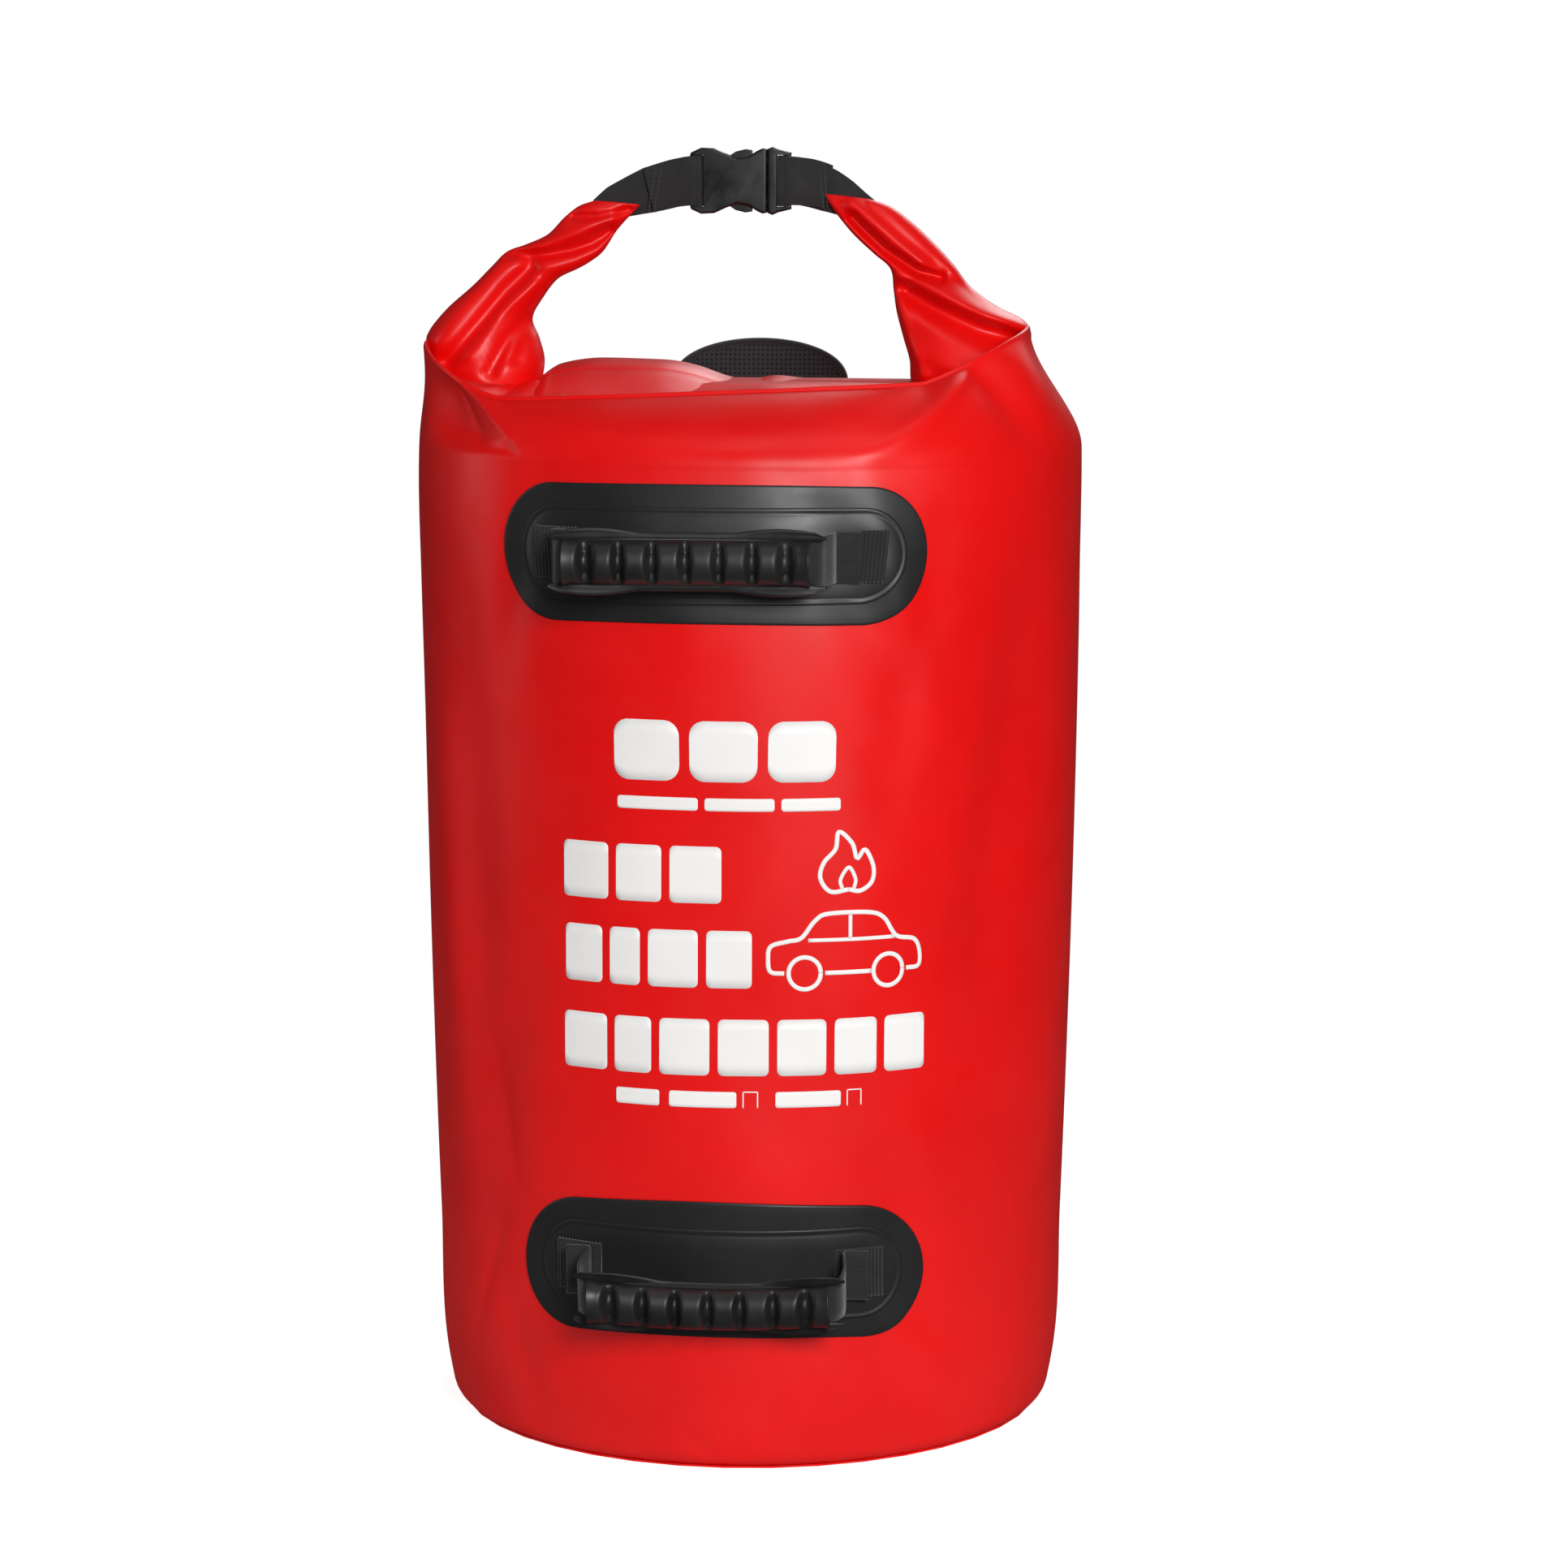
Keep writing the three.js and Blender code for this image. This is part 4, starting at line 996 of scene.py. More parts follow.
LEFT_ARM = [
    (-186, 616, -132, 616, 56),
    (-194, 638, -128, 636, 66),
    (-198, 650, -127, 647, 64),
    (-198.5, 661, -130, 659, 58),
    (-187, 676, -134, 671, 48),
    (-170, 691, -127, 684, 40),
    (-158, 703, -118, 695, 34),
    (-149, 711.5, -106, 701, 32),
    (-137, 716, -98, 705.5, 29),
    (-124, 722, -90, 712, 26),
    (-114, 732, -82, 724, 23),
    (-105, 739, -74, 733, 19),
    (-95, 742.5, -67, 740, 12),
]
RIGHT_ARM = [
    (158, 618, 104, 614, 58),
    (166, 640, 98, 634, 70),
    (169.5, 652, 97, 647, 68),
    (170.5, 664, 93, 661, 62),
    (165, 672, 89, 676, 54),
    (150, 679.5, 87, 689, 44),
    (134, 691, 85, 702, 34),
    (123, 705, 75, 711, 31),
    (112, 717, 64, 721, 28),
    (98, 730, 56, 730, 25),
    (85, 739.5, 49.5, 738.5, 20),
    (72, 744, 44, 747, 12),
]
LEFT_CREASES = [
    ([(-148, 712), (-135, 709.5), (-123, 710), (-108, 713), (-97, 717), (-86, 724)], 4.2, 7.0, False, -1),
    ([(-146, 715), (-128, 716), (-104, 724), (-84, 733)], 4.0, -3.0, False, -1),
    ([(-108, 733), (-92, 733), (-74, 737)], 2.6, 4.0, False, -1),
    ([(-183, 646), (-163, 669), (-148, 688), (-133, 703)], 5.0, 6.5, False, -1),
    ([(-156, 640), (-146, 660), (-131, 676)], 4.0, 4.5, False, -1),
    ([(-192, 655), (-172, 683), (-154, 704)], 6.0, -2.4, False, -1),
    ([(-168, 650), (-150, 676), (-130, 692)], 4.0, -2.2, False, -1),
    ([(-140, 648), (-133, 664)], 4.0, 3.0, False, -1),
    ([(-190, 655), (-165, 684), (-120, 705), (-85, 730)], 6.0, 6.0, False, 1),
    ([(-150, 650), (-140, 680), (-110, 715)], 5.0, 4.0, False, 1),
]
RIGHT_CREASES = [
    ([(62, 733), (70, 725), (82, 714), (103, 700.7), (116, 697)], 3.4, 9.5, False, -1),
    ([(62, 741), (80, 727), (104, 707)], 5.0, -3.4, False, -1),
    ([(48, 741), (62, 725), (84, 705)], 3.0, -2.4, False, -1),
    ([(86, 700), (104, 693), (130, 681), (164, 669)], 5.0, -6.0, False, -1),
    ([(96, 689), (112, 679), (140, 666), (162, 660)], 8.0, 13.0, False, -1),
    ([(91, 684), (95, 664), (106, 640)], 4.5, -4.5, False, -1),
    ([(104, 652), (128, 645), (150, 648)], 7.0, -3.0, False, -1),
    ([(70, 742), (95, 720), (140, 684)], 3.0, 2.0, False, -1),
    ([(60, 738), (100, 704), (150, 672)], 6.0, 6.0, False, 1),
    ([(96, 690), (120, 660)], 6.0, 4.0, False, 1),
]


BUCKLE_HEIGHT = 754.5


def make_carry_loop():
    left = make_arm("left_twisted_arm", "left_roll_arm", LEFT_ARM, LEFT_CREASES)
    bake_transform(left)
    right = make_arm("right_twisted_arm", "right_roll_arm", RIGHT_ARM, RIGHT_CREASES)
    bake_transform(right)

    # webbing: the free end in front, to the buckle's bar, round it and out along the inner layer into the arm
    left_front = [(-62, -2.3, 748.8), (-54, -2.4, 750.8), (-46, -3.2, 753.0), (-38.5, -4.3, 754.2)]
    turn_back = [(-34.2, -4.0), (-31.4, -2.4), (-30.9, 0), (-31.4, 2.4), (-34.2, 4.0)]
    left_bar = [(x, y, BUCKLE_HEIGHT) for x, y in turn_back]
    left_back = [(-40, 3.8, 754), (-50, 0.8, 752), (-62, 0.2, 748.6), (-74, 0.2, 744.6)]
    left_back += [(-84, 0.2, 741), (-94, 0.2, 737)]
    path = curve(left_front + left_bar + left_back, 130)
    widths = [(30, 30), (62, 27.5), (74, 23.5), (84, 20), (94, 12)]
    make_loop_strap("left_loop_strap", path, widths, "carry_loop", "left_webbing")
    right_front = [(47, -2.3, 751.2), (40, -2.6, 753.0), (32, -3.4, 754.2), (26, -4.3, BUCKLE_HEIGHT)]
    turn_back = [(21.6, -4.1), (18.4, -2.5), (17.9, 0), (18.4, 2.5), (21.6, 4.1)]
    right_bar = [(x, y, BUCKLE_HEIGHT) for x, y in turn_back]
    right_back = [(27, 3.8, BUCKLE_HEIGHT), (36, 0.8, 753.0), (48, 0.2, 748.6), (58, 0.2, 744)]
    right_back += [(67, 0.2, 740), (76, 0.2, 736.5)]
    path = curve(right_front + right_bar + right_back, 130)
    widths = [(20, 29), (36, 28.5), (48, 26), (58, 22), (67, 16), (76, 10)]
    make_loop_strap("right_loop_strap", path, widths, "buckle_insert_half", "right_webbing")
    rows = np.linspace(-12.5, 12.5, 11)
    for name, body, columns, drop in (
        ("left_loop_stitches", "carry_loop", (-60.0, -56.5), 748.9),
        ("right_loop_stitches", "buckle_insert_half", (43.0, 45.6), 751.8),
    ):
        x, w = (grid.ravel() for grid in np.meshgrid(columns, rows))
        lean = 0.18 if "left" in name else -0.1
        places = np.stack([x + lean * w, -3.05 + 0 * x, drop + w], -1)
        stitches(name, places, (lean, 0, 1), (0, -1, 0), body, THREAD, 1.9, 0.8)
    for node, body, ease in (
        ("buckle_socket", "carry_loop", 0.9),
        ("buckle_insert", "buckle_insert_half", 0.9),
        ("upper_prong", "upper_prong", 0.45),
        ("lower_prong", "lower_prong", 0.45),
    ):
        softened(node, node + "_moulding", ease, BUCKLE_NYLON, body, "buckle_nylon")


def make_loop_strap(name, path, widths, body, node):
    """Webbing folded back round a buckle bar: it bunches in the bar's slot, and leans as it goes out."""
    x, sign = np.abs(path[:, 0]), np.sign(path[-1, 0])
    far, wide = np.array(widths, float).T
    bar = 31.0 if sign < 0 else 18.0
    bunch = 1.3 + 2.7 * np.exp(-(((x - bar) / 1.8) ** 4))
    lean = rise(x, bar + 4, 80)[:, None]
    across = np.array([0, 0, 1.0]) + np.array([0.45 * -sign, 0, 0]) * -lean
    spread = 1.6 * np.exp(-(((x - bar) / 3.0) ** 2))
    made = ribbon(name, path, np.interp(x, far, wide) + spread, bunch, across, BLACK_WEBBING)
    keep(made, body, "black_webbing", node)


def make_roll():
    """The bag's mouth, rolled down and laid back: a flat wedge that slopes up from behind the neckline to a
    rounded back edge, where its free edge shows as a step. The top's height falls from left to right."""
    x = np.concatenate([[-136, -135, -132], np.linspace(-128, 92, 100), [95, 98, 99]])
    places = [-136, -118, -100, -50, -34, -14, 0, 12, 26, 60, 99]
    top = np.interp(x, places, [636, 642, 644.5, 645, 642, 634, 632.5, 635.5, 633, 631.5, 629.5])
    kernel = np.hanning(13)[1:-1]
    top = np.convolve(np.pad(top, 5, mode="edge"), kernel / kernel.sum(), mode="valid")
    end = np.clip(np.minimum(x + 136, 99 - x) / 14, 0.01, 1)[:, None] ** 0.5
    share = np.linspace(0, 1, 40)[None]
    y = -88 + 116 * share
    slope = rise(share, 0.0, 0.85)
    low = 618.0
    wave = 0.9 * np.sin(x / 21.0)[:, None] * share
    wave = wave + 0.7 * np.sin(x[:, None] / 9.0 + 4 * share) * share * (1 - share)
    z = 625 + (top[:, None] - 625) * slope + wave - 1.3 * np.exp(-(((share - 0.62) / 0.02) ** 2))
    z = low + (z - low) * (0.55 + 0.45 * end)
    y = (y + 20) * (0.6 + 0.4 * end) - 20
    turn = np.linspace(0, np.pi, 12)[None, 1:-1]
    back_half = (z[:, -1:] - low) / 2
    back_y = y[:, -1:] + 9 * np.sin(turn) * end
    back_z = z[:, -1:] - back_half + back_half * np.cos(turn)
    under = np.linspace(1, 0, 8)[None]
    under_y = y[:, :1] + (y[:, -1:] - y[:, :1]) * under
    all_y = np.concatenate([y, back_y, under_y], 1)
    all_z = np.concatenate([z, back_z, low + 0 * under_y], 1)
    rings = np.stack([x[:, None] + 0 * all_y, all_y, all_z], -1)
    keep(closed_tube("rolled_mouth", rings, RED_SHEET), "bag", "red_sheet", "closure_roll")


make_carry_loop()
make_roll()


# ---------------------------------------------------------------- white marks on the front


def wall_bar(s_low, s_high, z_low, z_high, corner):
    """A plain printed bar with rounded corners, a film over the wall."""
    half = (z_high - z_low) / 2
    middle = (z_low + z_high) / 2

    def half_height(s):
        past = np.clip(np.maximum(s_low + corner - s, s - (s_high - corner)), 0, corner)
        return half - corner + np.sqrt(np.maximum(corner**2 - past**2, 1e-4))

    return tube(wall_rings(s_low, s_high, half_height, middle, (-0.25, 0.14), 18, 6))


def wall_line(places, width, count=60):
    """A printed line of even width through places on the wall, with square ends."""
    line = outline_at(places, count)
    along = unit(np.gradient(line, axis=0))
    across = np.stack([-along[:, 1], along[:, 0]], -1) * width / 2
    share = np.array([-1, -0.33, 0.33, 1, 1, 0.33, -0.33, -1])
    off = np.array([0.14] * 4 + [-0.25] * 4)
    flat = line[:, None] + across[:, None] * share[None, :, None]
    return tube(on_wall(flat[..., 0], flat[..., 1], off[None] + 0 * flat[..., 0]))


def make_marks():
    """Plain bars in rows, beside a simple sign: a vehicle with a flame over it."""
    bars = []
    rows = [
        # z low, z high, corner, bars as (s low, s high)
        (414.5, 450, 9.0, [(-66, -26), (-20, 20), (26, 66)]),
        (397.5, 405, 1.6, [(-64, -15), (-11, 30), (34, 69)]),
        (343, 376.5, 3.2, [(-100, -70), (-65, -37), (-32, -1)]),
        (293, 327, 3.2, [(-99, -74), (-69, -50), (-45, -15), (-10, 17)]),
        (241, 274.5, 3.2, [(-100, -71), (-66, -43), (-38, -8), (-3, 27), (32, 61), (66, 92), (97, 124)]),
        (222, 231.5, 1.4, [(-65, -38), (-32, 8), (31, 70)]),
    ]
    for low, high, corner, spans in rows:
        bars += [wall_bar(start, end, low, high, corner) for start, end in spans]
    keep(joined("front_bars", bars, WHITE_INK), "bag", None)
    boxes = []
    for left in (12, 74):
        boxes += [
            wall_line([(left, 222), (left, 227), (left, 231.5)], 0.7, 8),
            wall_line([(left + 8.5, 222), (left + 8.5, 227), (left + 8.5, 231.5)], 0.7, 8),
            wall_line([(left, 231.5), (left + 4, 231.5), (left + 8.5, 231.5)], 0.7, 8),
        ]
    bonnet = [(36, 302), (28, 303), (26.5, 310), (28, 318), (38, 321), (46, 323)]
    roof = [(54, 333), (62, 337), (86, 337), (96, 333)]
    boot = [(104, 322), (116, 319), (120, 312), (119.5, 303), (111, 302)]
    body = np.array(bonnet + roof + boot)
    left_tongue = [(74, 351), (63, 350), (57, 358), (59, 367), (66, 375), (68, 385)]
    right_tongue = [(76, 378), (79, 369), (84, 374), (89, 364), (88, 355), (81, 350), (74, 351)]
    flame = np.array(left_tongue + right_tongue)
    inner = np.array([(70, 351.5), (69, 357), (74, 364), (78, 357), (77, 351.5)])
    lines = [
        wall_line(body, 2.6, 120),
        wall_line([(60, 302), (74, 302), (88, 302)], 2.6, 12),
        wall_line([(50, 321.5), (76, 321.5), (103, 321.5)], 2.2, 16),
        wall_line([(75, 322), (75, 329), (75, 336)], 2.2, 8),
        wall_line(flame, 2.6, 100),
        wall_line(inner, 2.2, 40),
    ]
    wheel = np.linspace(0, 2 * np.pi, 17)
    for middle in (48, 99):
        rim_line = np.stack([middle + 9.5 * np.cos(wheel), 302 + 9.5 * np.sin(wheel)], -1)
        lines.append(wall_line(rim_line, 2.6, 50))
    keep(joined("front_sign", lines + boxes, WHITE_INK), "bag", None)


make_marks()


# ---------------------------------------------------------------- shoulder harness

# The shoulder pad's middle line: millimetres round from the back's middle, height, distance off the wall.
PAD_LINE = [(28, 590, 12), (36, 570, 14), (58, 525, 24), (80, 465, 36)]
PAD_LINE += [(98, 400, 42), (107, 350, 38), (110, 318, 33)]
PAD_WIDTH = 50.5
PAD_THICK = 8.0
YOKE_MIDDLE = -9.0
YOKE_LOW, YOKE_HIGH = 602.5, 646.5
WEBBING_WIDTH = 25
LOWER_ROUND = 110.0  # how far round from the back's middle each strap is anchored
LOWER_HEIGHT = 80.0


def behind(s, z, off):
    """The harness's places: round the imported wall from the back's middle, straight up above 590."""
    heights = np.array([14, 300, 420, 500, 598.0])
    level = np.minimum(z, 590.0)
    half_width = np.interp(level, heights, [190, 194.5, 199, 201, 201.5])
    half_depth = np.interp(level, heights, [190, 188, 184, 180.5, 168])
    turn = s / half_width
    normal = unit(np.stack([np.sin(turn) / half_width, np.cos(turn) / half_depth, 0 * turn], -1))
    foot = np.stack([half_width * np.sin(turn), half_depth * np.cos(turn), z + 0 * turn], -1)
    return foot + normal * off[..., None]


def settle(piece, voxel, pressure, cap, seconds=20):
    """Swells a closed padded form like a stuffed one: an even remesh, then Cloth under pressure without
    gravity. Each point is held within cap millimetres of where it started."""
    bpy.context.view_layer.objects.active = piece
    remesh = piece.modifiers.new("even", "REMESH")
    remesh.mode = "VOXEL"
    remesh.voxel_size = voxel * MM
    remesh.use_smooth_shade = True
    bpy.ops.object.modifier_apply(modifier=remesh.name)
    mesh = piece.data
    start = np.empty(len(mesh.vertices) * 3, np.float32)
    mesh.vertices.foreach_get("co", start)
    cloth = piece.modifiers.new("stuffed", "CLOTH")
    cloth.settings.quality = 6
    cloth.settings.mass = 0.3
    cloth.settings.use_pressure = True
    cloth.settings.uniform_pressure_force = pressure
    cloth.settings.effector_weights.gravity = 0
    cloth.settings.tension_stiffness = 25
    cloth.settings.bending_stiffness = 2
    cloth.point_cache.frame_start = 1
    cloth.point_cache.frame_end = seconds
    scene = bpy.context.scene
    for number in range(1, seconds + 1):
        scene.frame_set(number)
    evaluated = piece.evaluated_get(bpy.context.evaluated_depsgraph_get()).data
    end = np.empty(len(evaluated.vertices) * 3, np.float32)
    evaluated.vertices.foreach_get("co", end)
    piece.modifiers.remove(cloth)
    scene.frame_set(1)
    start, end = start.reshape(-1, 3), end.reshape(-1, 3)
    move = np.nan_to_num(end - start)
    size = np.linalg.norm(move, axis=1, keepdims=True)
    move *= np.minimum(1, cap * MM / np.maximum(size, 1e-9))
    mesh.vertices.foreach_set("co", (start + move).ravel())
    mesh.update()


def subdivided(piece):
    finer = piece.modifiers.new("finer", "SUBSURF")
    finer.levels = finer.render_levels = 1
    piece.data.polygons.foreach_set("use_smooth", np.full(len(piece.data.polygons), True))


def cushion_rings(middle, across, out, width, thick, count=40):
    """Rounded-oblong sections round each middle point."""
    turn = np.linspace(0, 2 * np.pi, count, endpoint=False)
    u = signed_power(np.cos(turn), 0.55)
    v = signed_power(np.sin(turn), 0.75)
    width, thick = np.asarray(width)[:, None, None], np.asarray(thick)[:, None, None]
    sideways = across[:, None] * u[None, :, None] * width / 2
    return middle[:, None] + sideways + out[:, None] * v[None, :, None] * thick / 2


def pad_line(side, count):
    """The shoulder pad's middle line with its across and outward directions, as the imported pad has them."""
    s, z, off = np.asarray(PAD_LINE, float).T
    lean = np.clip((110 - np.abs(s)) / 80, 0, 1)
    spot = side * s + YOKE_MIDDLE * lean * lean * (3 - 2 * lean)
    line = outline_at(behind(spot, z, off), count)
    along = unit(np.gradient(line, axis=0))
    share = np.linspace(0.2, 1, count)
    outward = unit(np.stack([line[:, 0] * share, line[:, 1], 0 * share], -1))
    across = unit(np.cross(along, outward))
    return line, across, unit(np.cross(across, along))


def make_shoulder_pad(name, side):
    """Padded strap: mesh cushion, bound edges, webbing sewn down its outside and two rows of stitches."""
    body = name + "_shoulder_strap"
    count = 90
    line, across, out = pad_line(side, count)
    share = np.linspace(0, 1, count)
    taper = 1 - 0.28 * rise(share, 0.86, 1.0)
    width = PAD_WIDTH * taper
    thick = PAD_THICK * np.minimum(1, 0.5 + 9 * np.minimum(share, 1 - share))
    pad = closed_tube(name + "_pad_cushion", cushion_rings(line, across, out, width, thick), AIR_MESH)
    settle(pad, 3.2, 3.0, 2.0)
    subdivided(pad)
    keep(pad, body, "air_mesh", f"{name}_shoulder_pad")

    reach = (24.2 * taper)[:, None]
    one_edge, other_edge = line + across * reach, line - across * reach
    below = line[-1] + (line[-1] - line[-3]) * 0.45
    bottom = curve(np.stack([one_edge[-1], below, other_edge[-1]]), 14)
    binding = np.concatenate([one_edge, bottom[1:-1], other_edge[::-1]])
    edge = ribbon_round(name + "_pad_binding", outline_at(binding, 220), 2.6, 3.9, line, BLACK_WEBBING)
    keep(edge, body, "black_webbing")

    over = line + out * 5.6
    start = line[0] + np.array([0, 1.0, 7])
    # its lower end goes round the ladder lock's top bar and back up behind the pad
    bar = [(316, 37.6), (312, 37.1), (309.7, 35.6), (308.9, 33), (309.7, 30.4), (313, 29.2), (320, 29.2)]
    z, off = np.array(bar).T
    loop = behind(LOWER_ROUND * side + 0 * z, 300 + 0 * z, off)
    loop[:, 2] = z
    path = outline_at(np.concatenate([[start + out[0] * 3], over[4:-2], loop]), 150)
    wide = np.concatenate([across[:1], across[4:-2], np.repeat(across[-1:], len(bar), axis=0)])
    wide = resample(wide, 150)
    web = ribbon(name + "_pad_webbing", path, WEBBING_WIDTH, 1.2, wide, BLACK_WEBBING)
    keep(web, body, "black_webbing")
    rows = []
    _, flat, up = frames(path, wide)
    for offset in (-10.6, 10.6):
        rows.append((path + flat * offset)[8:132])
    where = np.concatenate(rows)
    along = np.concatenate([np.gradient(path, axis=0)[8:132]] * 2)
    facing = np.sign(np.sum(up * resample(out, 150), axis=1, keepdims=True))
    lift = np.concatenate([(facing * up)[8:132]] * 2)
    stitches(name + "_pad_stitches", where + lift * 0.75, along, lift, body, THREAD, 2.0, 0.6)


def resample(vectors, count):
    place = np.linspace(0, 1, len(vectors))
    return np.stack([np.interp(np.linspace(0, 1, count), place, vectors[:, k]) for k in range(3)], -1)


def ribbon_round(name, path, thick, tall, core, material):
    """Edge binding: an oval cord that follows a pad's rim, taller than it is thick."""
    along = unit(np.gradient(path, axis=0))
    nearest = core[np.argmin(np.linalg.norm(path[:, None] - core[None], axis=2), axis=1)]
    inward = nearest - path
    inward = unit(inward - along * np.sum(inward * along, axis=1, keepdims=True) + 1e-6)
    out = np.cross(along, inward)
    turn = np.linspace(0, 2 * np.pi, 12, endpoint=False)
    rings = path[:, None] + np.cos(turn)[None, :, None] * inward[:, None] * thick
    rings = rings + np.sin(turn)[None, :, None] * out[:, None] * tall
    return closed_tube(name, rings, material)


def make_yoke():
    """The padded arch that the two pads hang from: half an oval with a bound edge."""
    rows = 60
    z = np.linspace(YOKE_LOW, YOKE_HIGH, rows)
    up = np.clip((z - 620) / (648 - 620), 0, 1)
    half = 2 + 53 * (1 - up**2.2) ** 0.5
    thick = 8.2 * np.minimum(1, 0.6 + (YOKE_HIGH - z) / 12)
    turn = np.linspace(0, 2 * np.pi, 64, endpoint=False)
    u = signed_power(np.cos(turn), 0.6)
    v = signed_power(np.sin(turn), 0.75)
    x = YOKE_MIDDLE + half[:, None] * u[None]
    # two diagonal folds run down from the top's corners
    spread = 20 + 0.55 * (646 - z[:, None])
    fold = sum(1.5 * np.exp(-(((x - YOKE_MIDDLE - side * spread) / 3.2) ** 2)) for side in (-1, 1))
    off = 12 + v[None] * (thick[:, None] / 2 - fold * (v[None] < 0))
    spot = behind(x, z[:, None] + 0 * x, off)
    yoke = closed_tube("harness_yoke_cushion", spot, AIR_MESH)
    settle(yoke, 3.0, 3.0, 2.0)
    subdivided(yoke)
    keep(yoke, "bag", "air_mesh", "harness_yoke")
    angle = np.linspace(0, np.pi, 60)
    rim_x = YOKE_MIDDLE - np.concatenate([[52.8], 52.6 * np.cos(angle), [-52.8]])
    rim_z = np.concatenate([[603.5], 620 + 26 * np.sin(angle) ** 0.9, [603.5]])
    path = outline_at(behind(rim_x, rim_z, 12 + 0 * rim_x), 130)
    core = behind(YOKE_MIDDLE + np.linspace(-40, 40, 30), np.full(30, 615.0), np.full(30, 12.0))
    keep(ribbon_round("yoke_binding", path, 2.2, 3.6, core, BLACK_WEBBING), "bag", "black_webbing")


def back_square(name, s, z, half_s, half_z, node):
    """A webbing square sewn flat on the back, with its cords showing."""
    ribs = lambda a, v: 0.3 * np.cos(2 * np.pi * a / 2.1)
    tall = lambda a: half_z - 0 * a
    rings = wall_rings(s - half_s, s + half_s, tall, z, (1.2, 3.0), 60, 16, back=True, ribs=ribs)
    keep(closed_tube(name, rings, BLACK_WEBBING), "bag", "black_webbing", node)


def make_harness():
    make_yoke()
    z = np.array([532, 541, 552, 564, 576, 588, 600, 615.0])
    off = np.array([3.4, 3.5, 3.7, 4.0, 4.6, 5.2, 5.6, 5.4])
    path = curve(behind(np.full(8, YOKE_MIDDLE), z, off + 1.0), 70)
    keep(ribbon("yoke_tab", path, 38, 1.6, (1, 0, 0), BLACK_WEBBING), "bag", "black_webbing", "harness_tab")
    stitch_rows = [537.0, 541.0, 557.0, 561.0]
    x, up = (grid.ravel() for grid in np.meshgrid(YOKE_MIDDLE + np.linspace(-16, 16, 13), stitch_rows))
    places = behind(x, up, 0 * x + 5.6)
    stitches("yoke_tab_stitches", places, (1, 0, 0), (0, 1, 0), "bag", THREAD, 2.0, 0.7)
    sheet_profile = [(30, -0.4), (2, -0.4)] + SHEET_EDGE + [(30, 1.3)]
    piece = wall_stadium("yoke_patch_sheet", (0, 552), 192, 78, sheet_profile, BLACK_SHEET, back=True)
    keep(piece, "bag", "black_sheet", "harness_patch")
    for name, side in (("left", -1), ("right", 1)):
        make_shoulder_pad(name, side)
        s = LOWER_ROUND * side
        sheet_name = name + "_lower_patch_sheet"
        piece = wall_stadium(sheet_name, (s, LOWER_HEIGHT), 88, 66, sheet_profile, BLACK_SHEET, back=True)
        keep(piece, "bag", "black_sheet", f"{name}_lower_patch")
        back_square(name + "_lower_square", s, LOWER_HEIGHT, 12.5, 17.0, f"{name}_lower_anchor")
        make_lower_webbing(name, side)
        lock = f"{name}_ladder_lock"
        softened(lock, lock + "_moulding", 0.6, BUCKLE_NYLON, lock, "buckle_nylon")


def make_lower_webbing(name, side):
    """Webbing from the lower square up inside the ladder lock, over its middle bar and hanging outside it."""
    s = np.array(LOWER_ROUND * side)
    lock_z, lock_off = 318 - 19 - 2.4, 33.0
    rising = [(70, 3.6), (86, 3.9), (104, 6), (140, 10), (210, 19)]
    inside = [(-26, -5), (-12, -4.4), (1.8, -4.1)]
    over_bar = [(3.8, -2.4), (4.3, 0), (3.8, 2.4)]
    outside = [(1.8, 4.1), (-12, 4.8), (-26, 6), (-60, 8), (-104, 8)]
    round_lock = np.array(inside + over_bar + outside) + [lock_z, lock_off]
    z, off = np.concatenate([rising, round_lock]).T
    place = behind(s + 0 * z, 300 + 0 * z, off)
    place[:, 2] = z
    ahead = behind(np.array([s + 1, s - 1]), np.array([300.0, 300.0]), np.zeros(2))
    path = curve(place, 260)
    across = unit(ahead[0] - ahead[1])
    piece = ribbon(name + "_adjuster_webbing", path, WEBBING_WIDTH, 1.3, across, BLACK_WEBBING)
    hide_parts(f"{name}_lower_webbing")
    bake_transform(piece)


make_harness()


# ---------------------------------------------------------------- the blanket inside

BLANKET_WIDTH = 6.0  # metres of cloth
BLANKET_LENGTH = 8.0
PLIES = 11
PLY_PITCH = 0.97


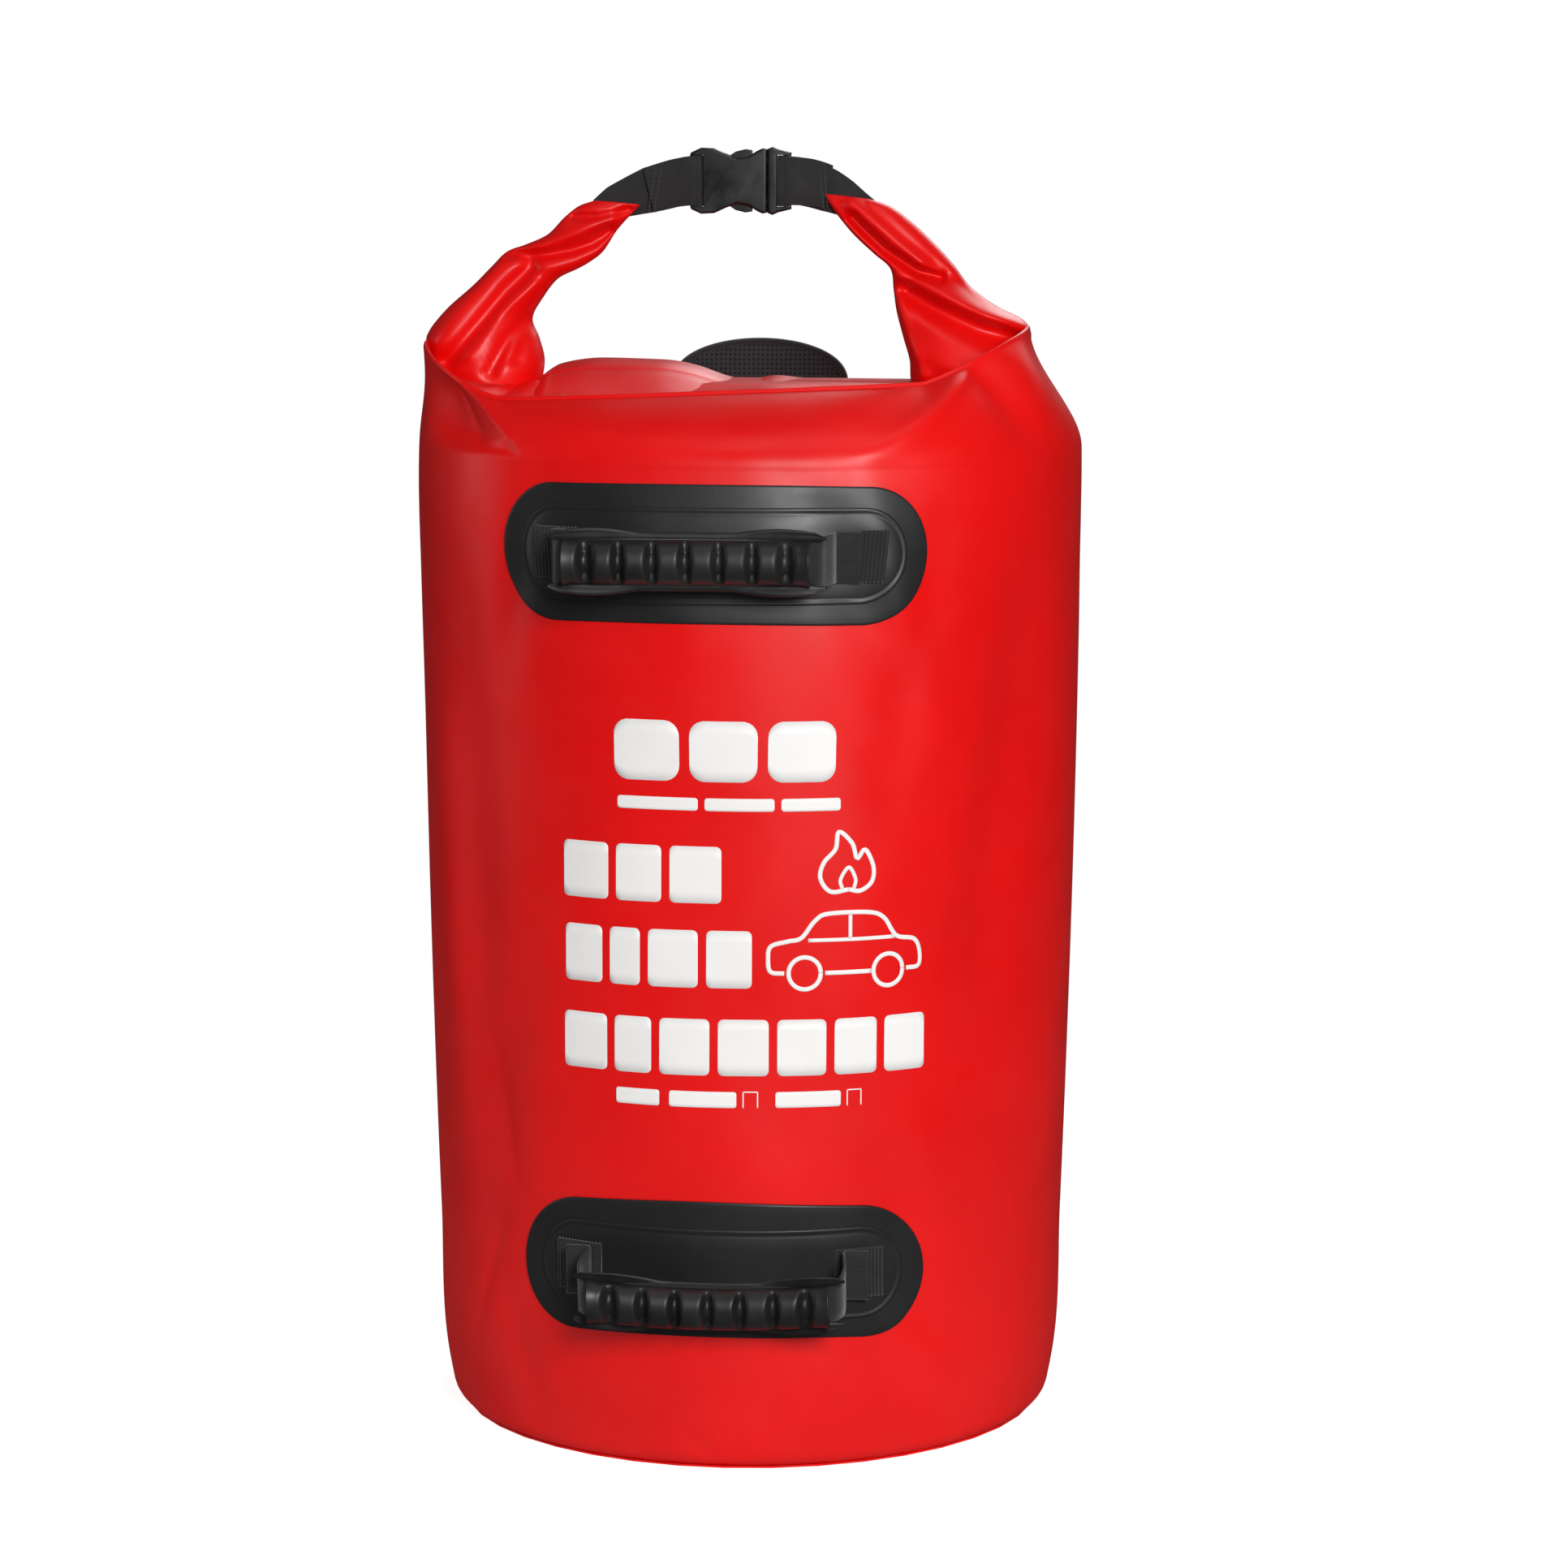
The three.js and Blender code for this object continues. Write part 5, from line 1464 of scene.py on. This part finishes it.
def make_blanket():
    """One sheet, folded to and fro into 11 plies and rolled up. Across the sheet, the ply number sets the
    distance in the stack and the height runs up and down it, with a half turn between plies. Along the
    sheet, the whole stack follows a spiral whose radius grows by one stack's thickness each turn."""
    stack = PLIES * PLY_PITCH + 0.25
    start_radius, outside = 20.0, 173.2
    turns = (outside - start_radius - stack + 2) / stack
    angle = np.linspace(0, 2 * np.pi * turns, 620)
    low, high = 6.0, 6.0 + BLANKET_WIDTH * 1000 / PLIES - 1.7
    heights, depths = [], []
    for ply in range(PLIES):
        up = np.linspace(low, high, 5) if ply % 2 == 0 else np.linspace(high, low, 5)
        heights += list(up)
        depths += [ply * PLY_PITCH] * 5
        if ply < PLIES - 1:
            heights.append(up[-1] + 0.55 * (1 if ply % 2 == 0 else -1))
            depths.append((ply + 0.5) * PLY_PITCH)
    heights, depths = np.array(heights), np.array(depths)
    radius = start_radius + stack * angle[:, None] / (2 * np.pi) + depths[None]
    slump = 1.2 * np.sin(angle * 2.0)[:, None] * (heights[None] > 300)
    across, back = radius * np.sin(angle)[:, None], -radius * np.cos(angle)[:, None]
    points = np.stack([across, back, heights[None] + slump + 0 * radius], -1)
    rows, columns = points.shape[:2]
    along = np.linspace(0, BLANKET_LENGTH * 1000, rows)
    across = np.linspace(0, BLANKET_WIDTH * 1000, columns)
    piece = new_piece(
        "folded_fire_blanket", points.reshape(-1, 3), quads(rows, columns, False), GLASS_CLOTH,
        places=quad_places(rows, columns, False, along, across), closed=False,
    )
    keep(piece, "bag", "glass_cloth", "fire_blanket")


def make_pull_loops():
    """A folded webbing loop from each corner of the sheet, lying on top of the roll."""
    reach = 55.0
    side_view = [(-reach, 1.2), (0, 1.2), (reach - 8, 1.2), (reach - 2, 2.4), (reach, 5)]
    side_view += [(reach - 2, 7.6), (reach - 8, 8.8), (0, 7), (-reach, 5.5)]
    path = curve(side_view, 70)
    places = [(-72, -50, 20), (60, -78, -35), (72, 52, 60), (-60, 66, -15)]
    for number, (x, y, degrees) in enumerate(places, 1):
        angle = np.radians(degrees)
        forward = np.array([np.cos(angle), np.sin(angle), 0])
        sideways = np.array([-np.sin(angle), np.cos(angle), 0])
        line = np.array([x, y, 560.5]) + path[:, :1] * forward + path[:, 1:] * np.array([0, 0, 1.0])
        piece = ribbon(f"pull_loop_{number}", line, 38, 1.6, sideways, RED_WEBBING)
        keep(piece, "bag", "red_webbing", f"blanket_pull_loop_{number}")


make_blanket()
make_pull_loops()
